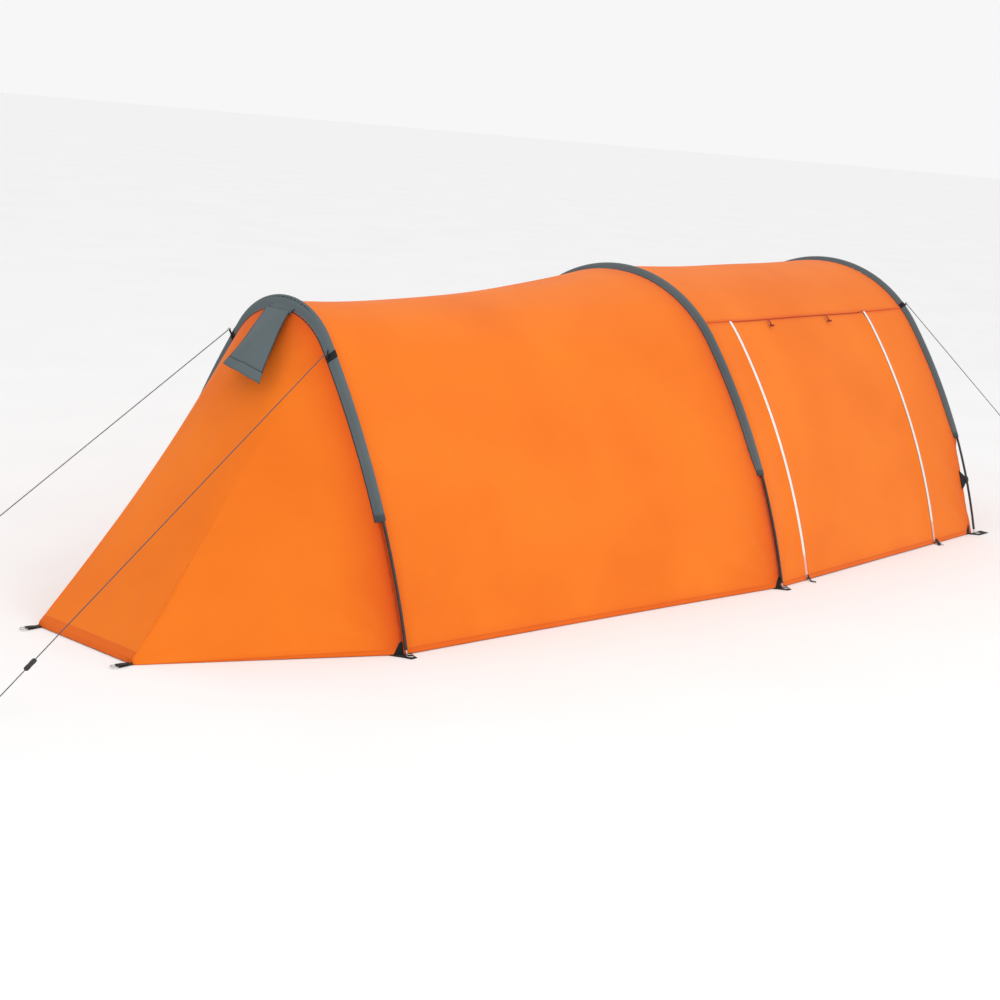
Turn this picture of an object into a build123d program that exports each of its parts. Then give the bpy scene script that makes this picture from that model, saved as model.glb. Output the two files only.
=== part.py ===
from build123d import *

import math
import os

# A two-person tunnel tent on three flexible arches, pitched and pegged out.
# Millimetres. +X runs from the low rear end to the front arch, the door is on
# the -Y side, +Z is up. The origin is on the ground, below the middle of the
# tent's own box (its guy lines not counted).

# ---------------------------------------------------------------- overall size
LENGTH = 4100.0  # tip of the rear peg loops to tip of the front foot webbing
WIDTH = 1750.0  # over the foot webbing of the two big arches
HEIGHT = 1050.0  # ground to the top of the middle and front sleeves

# ------------------------------------------------------------------ the arches
REAR_LOOP_REACH = 70.0  # peg loop, from the rear hem outwards
FRONT_TAIL_REACH = 70.0  # front foot webbing, from the arch forwards
FOOT_REACH = 30.0  # side foot webbing, from the pole outwards
REAR_BAY = 712.0  # rear hem to the rear arch
MAIN_BAY = 1719.0  # rear arch to the middle arch
REAR_HEM_HALF = 220.0  # half the width of the rear hem
REAR_HEM_RISE = 14.0  # stiff turned-up edge of the rear hem
REAR_ARCH_HALF = 607.0  # half span of the rear pole at the ground
REAR_ARCH_TOP = 985.0  # ground to the top of the rear sleeve
REAR_CROWN_RADIUS = 236.0
REAR_CROWN_ANGLE = 55.0  # half the angle of the crown arc, degrees
CROWN_RADIUS = 552.0  # middle and front arches
CROWN_ANGLE = 52.5
RIDGE_SAG = 42.0  # the roof dips this much between the rear and middle arches
WALL_SAG = 16.0  # and its walls this much

# ----------------------------------------------------------- cloth and webbing
SHELL = 2.5  # cloth and its seams, as one layer
WEBBING = 2.5
SLEEVE_WIDTH = 32.0
SLEEVE_THICKNESS = 14.0
SLEEVE_CHANNEL_CLEARANCE = 1.5  # the channel is this much wider than the pole
SLEEVE_END_Z = 385.0  # the sleeves stop here and the pole runs on bare
SEAM_GAP = 0.4  # between neighbours that are not sewn together
REAR_SLEEVE_STAND = 4.0  # the rear sleeve stands off the widening cloth
FRONT_EDGE_BACK = 24.0  # free front edge of the cloth behind the bare pole

# ------------------------------------------------------------------ poles, feet
POLE_DIAMETER = 9.5
POLE_WALL = 1.85
POLE_END_Z = 17.0
PIN_CLEARANCE = 0.8  # the pin is this much thinner than the pole's bore
PIN_LENGTH = 36.0
RING_MEAN_RADIUS = 11.0
RING_WIRE = 3.2
FOOT_TAB_SPREAD = 84.0  # webbing triangle along the hem
FOOT_TAB_TIP = 26.0
REAR_LOOP_WIDTH = 22.0
HOOK_TAB_Z = 219.0
HOOK_TAB_HEIGHT = 62.0
HOOK_CLEARANCE = 0.5
HOOK_WALL = 2.6
HOOK_SHARE = 0.3  # of the tab's height

# ------------------------------------------------------------------ side door
ZIP_REAR_FROM_MIDDLE = 184.0  # middle arch to the centre of the rear zip
ZIP_FRONT_FROM_FRONT = 345.0  # front arch to the centre of the front zip
DOOR_SEAM_ANGLE = 44.2  # where the door hangs, measured on the crown arc
DOOR_CLEARANCE = 1.2
DOOR_GROUND_GAP = 6.0
ZIP_WIDTH = 15.0
ZIP_THICKNESS = 2.0
ZIP_FOOT_Z = 10.0
SLIDER_LENGTH = 30.0
SLIDER_WIDTH = 10.0
SLIDER_THICKNESS = 4.0
SLIDER_START_Z = 70.0
SLIDER_LIFT = 0.5  # slider above its tape
SLIDER_BODY_SHARE = 0.55  # of its length; the pull tag is the rest
TAG_SHARE = 0.5  # pull tag, of the slider's length and width
TAG_THICKNESS_SHARE = 0.4
TAG_DROP_SHARE = 0.45
TOGGLE_LENGTH = 34.0
TOGGLE_DIAMETER = 9.0
TOGGLE_FROM_ZIP = (255.0, 315.0)  # from the rear zip, from the front zip
TOGGLE_DROP_ANGLE = 2.6  # below the door seam, on the crown arc

# ----------------------------------------------------------------- rear vent
VENT_TOP_HALF = 52.0
VENT_BOTTOM_HALF = 80.0
VENT_SKEW = 30.0  # the propped hood hangs this much over to the door side
VENT_LENGTH = 245.0
VENT_TILT = 12.0  # open hood, off the rear slope, degrees
VENT_DROP = 36.0  # hood hinge, below the top of the rear slope
VENT_STRUT_DIAMETER = 6.0
VENT_STRUT_LENGTH = 44.0
VENT_STRUT_INSET = 24.0  # from the hood's hem and from its side
VENT_STRUT_DROP = 4.4  # strut's pivot below the hood
VENT_STRUT_LEAN = 14.0  # the strut's foot leans up the slope, degrees
VENT_LIFT = 8.0  # hood hinge above the slope
MESH_TOP = 30.0  # mesh, below the hood hinge
MESH_LENGTH_SHARE = 0.66  # of the hood's length, clear of the folding strut
MESH_TOP_SHARE = 0.8  # of the hood's top
MESH_BOTTOM_SHARE = 0.75  # of the hood's bottom
MESH_LIFT = 2.0
MESH_THICKNESS = 1.5

# ------------------------------------------------------------------ inner tent
FLOOR_THICKNESS = 3.0
FLOOR_INSET = 60.0
FLOOR_LENGTH = 2080.0
PARTITION_BACK = 70.0  # inner tent's front wall, behind the middle arch
PARTITION_THICKNESS = 3.0
PARTITION_INSET = 26.0
INNER_DOOR_HALF = 300.0
INNER_DOOR_TOP = 760.0
INNER_DOOR_BOTTOM = 110.0
INNER_DOOR_CLEARANCE = 3.0
FRONT_PANEL_BACK = 48.0

# ------------------------------------------------------------------- guy lines
GUY_DIAMETER = 3.0
CLIP_HEIGHT_REAR = 845.0
CLIP_HEIGHT_FRONT = 895.0
CLIP_LENGTH = 20.0
CLIP_WALL = 2.5
EAR_REACH = 7.0
EAR_SIZE = 7.0
GUY_KNOT_RADIUS = 5.0
GUY_REAR_END = Vector(-2560.0, -335.0, 5.0)
GUY_FRONT_END = Vector(2750.0, -1010.0, 5.0)
RUNNER_LENGTH = 42.0
RUNNER_WIDTH = 16.0
RUNNER_THICKNESS = 9.0
RUNNER_BORE = 4.4
RUNNER_FROM_END = 190.0

# --------------------------------------------------------------- worked places
SLEEVE_CHANNEL = POLE_DIAMETER + SLEEVE_CHANNEL_CLEARANCE
POLE_BORE = POLE_DIAMETER - 2 * POLE_WALL
PIN_DIAMETER = POLE_BORE - PIN_CLEARANCE
RING_BORE = RING_MEAN_RADIUS - RING_WIRE / 2
PIN_FROM_RING = RING_BORE + PIN_DIAMETER / 2 + SEAM_GAP  # the ring is clear for a peg
REAR_X = -LENGTH / 2 + REAR_LOOP_REACH
REAR_ARCH_X = REAR_X + REAR_BAY
MIDDLE_ARCH_X = REAR_ARCH_X + MAIN_BAY
FRONT_ARCH_X = LENGTH / 2 - FRONT_TAIL_REACH
ZIP_REAR_X = MIDDLE_ARCH_X + ZIP_REAR_FROM_MIDDLE
ZIP_FRONT_X = FRONT_ARCH_X - ZIP_FRONT_FROM_FRONT
FLY_OFFSET = SLEEVE_THICKNESS / 2  # cloth lies this far inside the pole's line
NEAR = -1
FAR = 1
SIDES = {"near": NEAR, "far": FAR}


class Arch:
    """A pole's centre line in the plane x: two long side arcs and a crown arc, tangent."""

    def __init__(self, x, half_span, top, crown_radius, crown_angle, stand=0.0):
        self.x = x
        self.cloth = FLY_OFFSET + stand
        self.crown_radius = crown_radius
        self.crown_angle = math.radians(crown_angle)
        self.crown_z = top - crown_radius
        normal = (math.sin(self.crown_angle), math.cos(self.crown_angle))
        joint = (crown_radius * normal[0], self.crown_z + crown_radius * normal[1])
        gap = (joint[0] - half_span, joint[1])
        across = gap[0] * normal[0] + gap[1] * normal[1]
        self.side_radius = (gap[0] ** 2 + gap[1] ** 2) / (2 * across)
        self.side_y = joint[0] - self.side_radius * normal[0]
        self.side_z = joint[1] - self.side_radius * normal[1]
        self.joint_angle = math.pi / 2 - self.crown_angle

    def crown(self, angle, inset=0.0, x=None):
        """Point on the crown, angle in radians from the top, positive towards +Y."""
        radius = self.crown_radius - inset
        return Vector(
            self.x if x is None else x,
            radius * math.sin(angle),
            self.crown_z + radius * math.cos(angle),
        )

    def side(self, sign, angle, inset=0.0, x=None):
        """Point on a side arc, angle in radians above the level of its centre."""
        radius = self.side_radius - inset
        return Vector(
            self.x if x is None else x,
            sign * (self.side_y + radius * math.cos(angle)),
            self.side_z + radius * math.sin(angle),
        )

    def side_angle(self, z, inset=0.0):
        """The side arc's angle at the height z."""
        return math.asin((z - self.side_z) / (self.side_radius - inset))

    def along_side(self, sign, angle):
        """Unit vector up along a side arc."""
        return Vector(0, -sign * math.sin(angle), math.cos(angle))

    def outward(self, sign, angle):
        """Unit vector out of the tent, square to a side arc."""
        return Vector(0, sign * math.cos(angle), math.sin(angle))

    def side_arc(self, sign, low, high, inset=0.0, x=None):
        """Edge along a side arc from the angle low to the angle high."""
        middle = (low + high) / 2
        return Edge.make_three_point_arc(*(self.side(sign, a, inset, x) for a in (low, middle, high)))

    def crown_arc(self, start, end, inset=0.0, x=None):
        """Edge along the crown from the angle start to the angle end."""
        middle = (start + end) / 2
        return Edge.make_three_point_arc(*(self.crown(a, inset, x) for a in (start, middle, end)))

    def path(self, low_z):
        """Whole centre line, from the near end at low_z over the top to the far end."""
        low = self.side_angle(low_z)
        return Wire(
            [
                self.side_arc(NEAR, low, self.joint_angle),
                self.crown_arc(-self.crown_angle, self.crown_angle),
                self.side_arc(FAR, self.joint_angle, low),
            ]
        )


POLE_TOP = HEIGHT - SLEEVE_THICKNESS / 2
BIG_HALF_SPAN = WIDTH / 2 - FOOT_REACH
ARCHES = {
    "rear": Arch(
        REAR_ARCH_X,
        REAR_ARCH_HALF,
        REAR_ARCH_TOP - SLEEVE_THICKNESS / 2,
        REAR_CROWN_RADIUS,
        REAR_CROWN_ANGLE,
        REAR_SLEEVE_STAND,
    ),
    "middle": Arch(MIDDLE_ARCH_X, BIG_HALF_SPAN, POLE_TOP, CROWN_RADIUS, CROWN_ANGLE),
    "front": Arch(FRONT_ARCH_X, BIG_HALF_SPAN, POLE_TOP, CROWN_RADIUS, CROWN_ANGLE),
}
REAR_ARCH, MIDDLE_ARCH, FRONT_ARCH = ARCHES["rear"], ARCHES["middle"], ARCHES["front"]

# Half-way section of the sagging main bay: a mean of its two arches, drawn in.
SAG_ARCH = Arch(
    (REAR_ARCH_X + MIDDLE_ARCH_X) / 2,
    (REAR_ARCH_HALF + BIG_HALF_SPAN) / 2 - WALL_SAG / 2,
    (REAR_ARCH_TOP + HEIGHT - SLEEVE_THICKNESS) / 2 - RIDGE_SAG,
    (REAR_CROWN_RADIUS + CROWN_RADIUS) / 2,
    (REAR_CROWN_ANGLE + CROWN_ANGLE) / 2,
)

PARTS = {}


def keep(name, solid):
    """Name a finished piece and add it to the model."""
    solid.label = name
    PARTS[name] = solid


# --------------------------------------------------------------------- the fly
def closed_wire(outer, inner):
    """Ring of two matching edges and the two short ends that join them."""
    return Wire(
        [
            outer,
            Edge.make_line(outer @ 1, inner @ 1),
            inner.reversed(),
            Edge.make_line(inner @ 0, outer @ 0),
        ]
    )


def side_band(arch, sign, x=None, ground_z=0.0):
    """Section of a cloth wall: its side arc, SHELL thick, cut level at the ground."""
    edges = []
    for inset in (arch.cloth, arch.cloth + SHELL):
        low = arch.side_angle(ground_z, inset)
        edges.append(arch.side_arc(sign, low, arch.joint_angle, inset, x))
    return closed_wire(*edges)


def crown_band(arch, start, end, x=None):
    """Section of the roof cloth between two angles of the crown arc."""
    insets = (arch.cloth, arch.cloth + SHELL)
    return closed_wire(*(arch.crown_arc(start, end, inset, x) for inset in insets))


def hem_points(sign, inset):
    """Foot and top of the turned-up rear hem at one corner."""
    half = REAR_HEM_HALF - inset
    top = REAR_HEM_RISE - inset
    return Vector(REAR_X, sign * half, 0), Vector(REAR_X, sign * (half - REAR_HEM_RISE / 2), top)


def hem_side_band(sign):
    """Section of the rear side cloth at the rear hem."""
    edges = [Edge.make_line(*hem_points(sign, inset)) for inset in (0.0, SHELL)]
    return closed_wire(*edges)


def hem_crown_band():
    """Section of the rear slope at the rear hem."""
    edges = []
    for inset in (0.0, SHELL):
        edges.append(Edge.make_line(hem_points(NEAR, inset)[1], hem_points(FAR, inset)[1]))
    return closed_wire(*edges)


def skin(sections):
    """Cloth panel through two or three sections, straight threads between two."""
    return Solid.make_loft(sections, ruled=len(sections) == 2)


def make_fly():
    """Rear slope and main bay, each as a roof and two walls."""
    crown = REAR_ARCH.crown_angle
    keep("fly_rear_slope", skin([hem_crown_band(), crown_band(REAR_ARCH, -crown, crown)]))
    for name, sign in SIDES.items():
        keep(f"fly_rear_{name}", skin([hem_side_band(sign), side_band(REAR_ARCH, sign)]))
        keep(
            f"fly_main_{name}",
            skin([side_band(REAR_ARCH, sign), side_band(SAG_ARCH, sign), side_band(MIDDLE_ARCH, sign)]),
        )
    roof = []
    for arch in (REAR_ARCH, SAG_ARCH, MIDDLE_ARCH):
        edge = arch.crown_angle - SEAM_GAP / arch.crown_radius
        roof.append(crown_band(arch, -edge, edge))
    keep("fly_main_roof", skin(roof))


def porch_roof_wire(x):
    """Section of the porch roof, from the door seam over the top to the far seam."""
    return crown_band(FRONT_ARCH, -math.radians(DOOR_SEAM_ANGLE), FRONT_ARCH.crown_angle, x)


def near_wall_wire(x, ground_z):
    """Section of the porch's near wall: the side arc and the crown up to the door seam."""
    seam = -math.radians(DOOR_SEAM_ANGLE)
    outer, inner = [], []
    for inset, edges in ((FLY_OFFSET, outer), (FLY_OFFSET + SHELL, inner)):
        low = FRONT_ARCH.side_angle(ground_z, inset)
        edges.append(FRONT_ARCH.side_arc(NEAR, low, FRONT_ARCH.joint_angle, inset, x))
        edges.append(FRONT_ARCH.crown_arc(-FRONT_ARCH.crown_angle, seam, inset, x))
    cap = Edge.make_line(outer[1] @ 1, inner[1] @ 1)
    foot = Edge.make_line(inner[0] @ 0, outer[0] @ 0)
    return Wire([outer[0], outer[1], cap, inner[1].reversed(), inner[0].reversed(), foot])


def along_x(wire, length):
    """Solid of a section, drawn out along +X."""
    return Solid.extrude(Face(wire), Vector(length, 0, 0))


def free_edge_cut():
    """Room in front of the cloth's free edge, where the front pole runs bare."""
    depth = SLEEVE_WIDTH
    cut = Solid.make_box(
        depth + FRONT_EDGE_BACK,
        WIDTH,
        SLEEVE_END_Z,
        Plane(origin=(FRONT_ARCH_X - FRONT_EDGE_BACK, -WIDTH / 2, -1.0)),
    )
    return cut


def make_porch():
    """Porch roof, far wall, the two strips beside the door, and the door itself."""
    start = MIDDLE_ARCH_X
    end = FRONT_ARCH_X + SLEEVE_WIDTH / 2
    keep("fly_porch_roof", along_x(porch_roof_wire(start), end - start))
    far_wall = along_x(side_band(FRONT_ARCH, FAR, start), end - start)
    keep("fly_porch_far", far_wall - free_edge_cut())
    keep("fly_door_strip_rear", along_x(near_wall_wire(start, 0.0), ZIP_REAR_X - start))
    front_strip = along_x(near_wall_wire(ZIP_FRONT_X, 0.0), end - ZIP_FRONT_X)
    keep("fly_door_strip_front", front_strip - free_edge_cut())


def make_door():
    """Door panel between the zips, hanging from its seam, and its two roll-up toggles."""
    clear = ZIP_WIDTH / 2 + DOOR_CLEARANCE
    start, end = ZIP_REAR_X + clear, ZIP_FRONT_X - clear
    door = along_x(near_wall_wire(start, DOOR_GROUND_GAP), end - start)
    gap = DOOR_SEAM_ANGLE + math.degrees(DOOR_CLEARANCE / CROWN_RADIUS)
    wedge = crown_band(FRONT_ARCH, -math.radians(gap), -math.radians(DOOR_SEAM_ANGLE - 1.0), start - 1.0)
    keep("door_panel", door - along_x(wedge, end - start + 2.0))
    angle = -math.radians(DOOR_SEAM_ANGLE + TOGGLE_DROP_ANGLE)
    places = (ZIP_REAR_X + TOGGLE_FROM_ZIP[0], ZIP_FRONT_X - TOGGLE_FROM_ZIP[1])
    for name, x in zip(("rear", "front"), places):
        centre = FRONT_ARCH.crown(angle, FLY_OFFSET - TOGGLE_DIAMETER / 2, x)
        down = Vector(0, -math.cos(angle), math.sin(angle))
        plane = Plane(origin=centre - down * (TOGGLE_LENGTH / 2), z_dir=down)
        keep(f"door_toggle_{name}", Solid.make_cylinder(TOGGLE_DIAMETER / 2, TOGGLE_LENGTH, plane))


def make_zips():
    """Zip tapes on the strips' edges, and the sliders that run on them."""
    for name, x in (("rear", ZIP_REAR_X), ("front", ZIP_FRONT_X)):
        outer = FLY_OFFSET - ZIP_THICKNESS
        low = FRONT_ARCH.side_angle(ZIP_FOOT_Z, FLY_OFFSET)
        joint = FRONT_ARCH.joint_angle
        start = x - ZIP_WIDTH / 2
        edges = [FRONT_ARCH.side_arc(NEAR, low, joint, inset, start) for inset in (outer, FLY_OFFSET)]
        keep(f"door_zip_{name}", along_x(closed_wire(*edges), ZIP_WIDTH))
        angle = FRONT_ARCH.side_angle(SLIDER_START_Z)
        inset = outer - SLIDER_LIFT - SLIDER_THICKNESS / 2
        plane = Plane(
            origin=FRONT_ARCH.side(NEAR, angle, inset, x),
            x_dir=(1, 0, 0),
            z_dir=FRONT_ARCH.outward(NEAR, angle),
        )
        body = Box(SLIDER_WIDTH, SLIDER_LENGTH * SLIDER_BODY_SHARE, SLIDER_THICKNESS)
        tag_size = (SLIDER_WIDTH * TAG_SHARE, SLIDER_LENGTH * TAG_SHARE, SLIDER_THICKNESS * TAG_THICKNESS_SHARE)
        tag = Box(*tag_size)
        keep(f"zip_slider_{name}", plane * (body + Pos(0, -SLIDER_LENGTH * TAG_DROP_SHARE, 0) * tag))


def make_front_panel():
    """Upright cloth wall that closes the front end, inside the front arch."""
    inset = FLY_OFFSET + SHELL + SEAM_GAP
    x = FRONT_ARCH_X - FRONT_PANEL_BACK
    low = FRONT_ARCH.side_angle(0.0, inset)
    edges = [
        FRONT_ARCH.side_arc(NEAR, low, FRONT_ARCH.joint_angle, inset, x),
        FRONT_ARCH.crown_arc(-FRONT_ARCH.crown_angle, FRONT_ARCH.crown_angle, inset, x),
        FRONT_ARCH.side_arc(FAR, FRONT_ARCH.joint_angle, low, inset, x),
    ]
    sill = Edge.make_line(edges[2] @ 1, edges[0] @ 0)
    keep("fly_front_panel", along_x(Wire(edges + [sill]), SHELL))


# ------------------------------------------------------------ poles and sleeves
def swept(section, arch, low_z):
    """Section drawn along an arch, from low_z on the near side to low_z on the far side."""
    path = arch.path(low_z)
    start = Plane(origin=path @ 0, x_dir=(1, 0, 0), z_dir=path % 0)
    return sweep(start * section, path=path, transition=Transition.TRANSFORMED)


def make_poles():
    """Tubular poles with bare ends, and the cloth sleeves they are threaded through."""
    tube = Circle(POLE_DIAMETER / 2) - Circle(POLE_BORE / 2)
    band = Rectangle(SLEEVE_WIDTH, SLEEVE_THICKNESS) - Circle(SLEEVE_CHANNEL / 2)
    for name, arch in ARCHES.items():
        keep(f"pole_{name}", swept(tube, arch, POLE_END_Z))
        keep(f"sleeve_{name}", swept(band, arch, SLEEVE_END_Z))


# ------------------------------------------------------------------- the feet
def ring(centre):
    """Flat steel ring, lying level on its webbing."""
    outer = RING_BORE + RING_WIRE
    return Pos(*centre) * (Cylinder(outer, RING_WIRE) - Cylinder(RING_BORE, RING_WIRE))


def hem_half(x):
    """Half the width of the cloth at the ground, straight from arch to arch."""
    stations = [(REAR_X, REAR_HEM_HALF)]
    for arch in ARCHES.values():
        stations.append((arch.x, arch.side(FAR, arch.side_angle(0.0, arch.cloth), arch.cloth).Y))
    for (x0, y0), (x1, y1) in zip(stations, stations[1:]):
        if x <= x1:
            return y0 + (y1 - y0) * (x - x0) / (x1 - x0)
    return stations[-1][1]


def make_feet():
    """Webbing tabs on the hem, each with its ring and the pin that fits the pole's end."""
    for name, arch in ARCHES.items():
        forward = FRONT_TAIL_REACH if arch is FRONT_ARCH else FOOT_TAB_SPREAD / 2
        hem = [arch.x - FOOT_TAB_SPREAD / 2, arch.x, arch.x + forward]
        for side_name, sign in SIDES.items():
            low = arch.side_angle(0.0)
            tip_y = arch.side(sign, low).Y + sign * FOOT_REACH
            corners = [(x, sign * (hem_half(x) + SEAM_GAP)) for x in hem]
            corners.append((arch.x + (forward if arch is FRONT_ARCH else FOOT_TAB_TIP / 2), tip_y))
            corners.append((arch.x - FOOT_TAB_TIP / 2, tip_y))
            wire_z = WEBBING + RING_WIRE / 2
            foot = arch.side(sign, arch.side_angle(wire_z))
            centre = (arch.x, foot.Y + sign * PIN_FROM_RING, wire_z)
            tab = extrude(make_face(Polyline(*corners, close=True)), WEBBING)
            hole = Pos(centre[0], centre[1], WEBBING / 2) * Cylinder(RING_MEAN_RADIUS, 2 * WEBBING)
            keep(f"foot_tab_{name}_{side_name}", tab - hole)
            pin_frame = Plane(origin=foot, z_dir=arch.along_side(sign, low))
            pin = Solid.make_cylinder(PIN_DIAMETER / 2, PIN_LENGTH, pin_frame)
            keep(f"foot_ring_{name}_{side_name}", ring(centre) + pin)


def make_rear_loops():
    """Peg loops at the two corners of the rear hem, each with a steel ring."""
    ring_x = -LENGTH / 2 + RING_MEAN_RADIUS + RING_WIRE / 2
    loop_end = ring_x + RING_MEAN_RADIUS - RING_WIRE / 2
    for name, sign in SIDES.items():
        reach = REAR_X - SEAM_GAP - loop_end
        y = sign * (REAR_HEM_HALF - REAR_LOOP_WIDTH / 2)
        place = Pos(loop_end + reach / 2, y, WEBBING / 2)
        keep(f"rear_loop_{name}", place * Box(reach, REAR_LOOP_WIDTH, WEBBING))
        keep(f"rear_ring_{name}", ring((ring_x, y, WEBBING + RING_WIRE / 2)))


def make_hook_tabs():
    """Webbing triangles at the front edge, each with a hook clipped round the bare pole."""
    arch = FRONT_ARCH
    angle = arch.side_angle(HOOK_TAB_Z)
    back = FRONT_EDGE_BACK
    for name, sign in SIDES.items():
        frame = Plane(
            origin=arch.side(sign, angle),
            x_dir=(1, 0, 0),
            z_dir=arch.along_side(sign, angle),
        )
        bore = POLE_DIAMETER / 2 + HOOK_CLEARANCE
        hook = Cylinder(bore + HOOK_WALL, HOOK_TAB_HEIGHT * HOOK_SHARE) - Cylinder(bore, HOOK_TAB_HEIGHT)
        outline = make_face(
            Plane.XZ
            * Polyline(
                (-back, -HOOK_TAB_HEIGHT / 2),
                (-back, HOOK_TAB_HEIGHT / 2),
                (-bore - HOOK_CLEARANCE, HOOK_TAB_HEIGHT * HOOK_SHARE / 2),
                (-bore - HOOK_CLEARANCE, -HOOK_TAB_HEIGHT * HOOK_SHARE / 2),
                close=True,
            )
        )
        web = Pos(0, WEBBING / 2, 0) * extrude(outline, WEBBING)
        keep(f"hook_tab_{name}", frame * (web + hook))


# ------------------------------------------------------------------- rear vent
def slope_frame():
    """Plane on the middle thread of the rear slope, x down the slope, z out of it."""
    top = REAR_ARCH.crown(0.0, REAR_ARCH.cloth)
    foot = Vector(REAR_X, 0, REAR_HEM_RISE)
    down = (foot - top).normalized()
    out = Vector(0, 1, 0).cross(down)
    return Plane(origin=top, x_dir=down, z_dir=out)


def make_vent():
    """Vent hood at the top of the rear slope, its mesh, and the strut that props it open."""
    slope = slope_frame()
    hood_frame = slope * Pos(VENT_DROP, 0, VENT_LIFT) * Rot(0, -VENT_TILT, 0)
    outline = make_face(
        Polyline(
            (0, -VENT_TOP_HALF),
            (VENT_LENGTH, VENT_SKEW - VENT_BOTTOM_HALF),
            (VENT_LENGTH, VENT_SKEW + VENT_BOTTOM_HALF),
            (0, VENT_TOP_HALF),
            close=True,
        )
    )
    keep("vent_hood", hood_frame * extrude(outline, SHELL))
    along = VENT_LENGTH - VENT_STRUT_INSET
    across = VENT_SKEW - VENT_BOTTOM_HALF + VENT_STRUT_INSET
    strut_at = hood_frame * Pos(along, across, -VENT_STRUT_DROP) * Rot(0, VENT_STRUT_LEAN, 0)
    strut = Pos(0, 0, -VENT_STRUT_LENGTH / 2) * Cylinder(VENT_STRUT_DIAMETER / 2, VENT_STRUT_LENGTH)
    keep("vent_strut", strut_at * strut)
    low = VENT_LENGTH * MESH_LENGTH_SHARE
    low_half = VENT_BOTTOM_HALF * MESH_BOTTOM_SHARE
    mesh_outline = make_face(
        Polyline(
            (MESH_TOP, -VENT_TOP_HALF * MESH_TOP_SHARE),
            (low, -low_half),
            (low, low_half),
            (MESH_TOP, VENT_TOP_HALF * MESH_TOP_SHARE),
            close=True,
        )
    )
    keep("vent_mesh", slope * Pos(VENT_DROP, 0, MESH_LIFT) * extrude(mesh_outline, MESH_THICKNESS))


# ------------------------------------------------------------------ inner tent
def half_width_at(x, z, inset):
    """Half the clear width of the main bay at x and a low height z."""
    share = (x - REAR_ARCH_X) / MAIN_BAY
    rear = REAR_ARCH.side(FAR, REAR_ARCH.side_angle(z)).Y
    middle = MIDDLE_ARCH.side(FAR, MIDDLE_ARCH.side_angle(z)).Y
    return rear + (middle - rear) * share - inset


def make_inner():
    """Groundsheet, and the sleeping cabin's front wall with its door flap."""
    front_x = MIDDLE_ARCH_X - PARTITION_BACK
    rear_x = front_x - FLOOR_LENGTH
    bend = REAR_ARCH_X
    low = FLOOR_THICKNESS
    rear_share = (rear_x - REAR_X) / REAR_BAY
    rear_half = REAR_HEM_HALF + (REAR_ARCH_HALF - REAR_HEM_HALF) * rear_share - FLOOR_INSET
    bend_half = REAR_ARCH_HALF - FLOOR_INSET
    front_half = half_width_at(front_x, low, FLOOR_INSET)
    corners = [
        (rear_x, -rear_half),
        (bend, -bend_half),
        (front_x, -front_half),
        (front_x, front_half),
        (bend, bend_half),
        (rear_x, rear_half),
    ]
    keep("inner_groundsheet", extrude(make_face(Polyline(*corners, close=True)), FLOOR_THICKNESS))

    section = Arch(
        front_x,
        half_width_at(front_x, low, PARTITION_INSET),
        POLE_TOP - FLY_OFFSET - PARTITION_INSET - RIDGE_SAG / 2,
        CROWN_RADIUS - PARTITION_INSET,
        CROWN_ANGLE,
    )
    foot = section.side_angle(FLOOR_THICKNESS + SEAM_GAP)
    edges = [
        section.side_arc(NEAR, foot, section.joint_angle),
        section.crown_arc(-section.crown_angle, section.crown_angle),
        section.side_arc(FAR, section.joint_angle, foot),
    ]
    sill = Edge.make_line(edges[2] @ 1, edges[0] @ 0)
    wall = along_x(Wire(edges + [sill]), PARTITION_THICKNESS)
    height = INNER_DOOR_TOP - INNER_DOOR_BOTTOM
    middle_z = (INNER_DOOR_TOP + INNER_DOOR_BOTTOM) / 2
    hole = Pos(front_x, 0, middle_z) * Box(4 * PARTITION_THICKNESS, 2 * INNER_DOOR_HALF, height)
    keep("inner_front_wall", wall - hole)
    clear = INNER_DOOR_CLEARANCE
    flap = Box(PARTITION_THICKNESS, 2 * (INNER_DOOR_HALF - clear), height - 2 * clear)
    keep("inner_door", Pos(front_x + PARTITION_THICKNESS / 2, 0, middle_z) * flap)


# ------------------------------------------------------------------- guy lines
def pole_point(arch, sign, z):
    """Point of an arch at the height z, and the direction out of the tent there."""
    if z < arch.side(FAR, arch.joint_angle).Z:
        angle = arch.side_angle(z)
        return arch.side(sign, angle), arch.outward(sign, angle)
    angle = sign * math.acos((z - arch.crown_z) / arch.crown_radius)
    return arch.crown(angle), Vector(0, math.sin(angle), math.cos(angle))


def guy_clip(lengthwise):
    """Webbing saddle over the sleeve, open towards the cloth, with an ear on one edge."""
    width = SLEEVE_WIDTH + 2 * SEAM_GAP
    height = SLEEVE_THICKNESS + 2 * SEAM_GAP
    saddle = Pos(0, 0, CLIP_WALL / 2) * Box(width + 2 * CLIP_WALL, CLIP_LENGTH, height + CLIP_WALL)
    saddle -= Box(width, 2 * CLIP_LENGTH, height)
    saddle -= Pos(0, 0, -height / 2) * Box(2 * width, 2 * CLIP_LENGTH, height / 2)
    ear_x = lengthwise * (width / 2 + CLIP_WALL + EAR_REACH / 2)
    return saddle + Pos(ear_x, 0, height / 2 - EAR_SIZE / 2) * Box(EAR_REACH, EAR_SIZE, EAR_SIZE)


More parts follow.
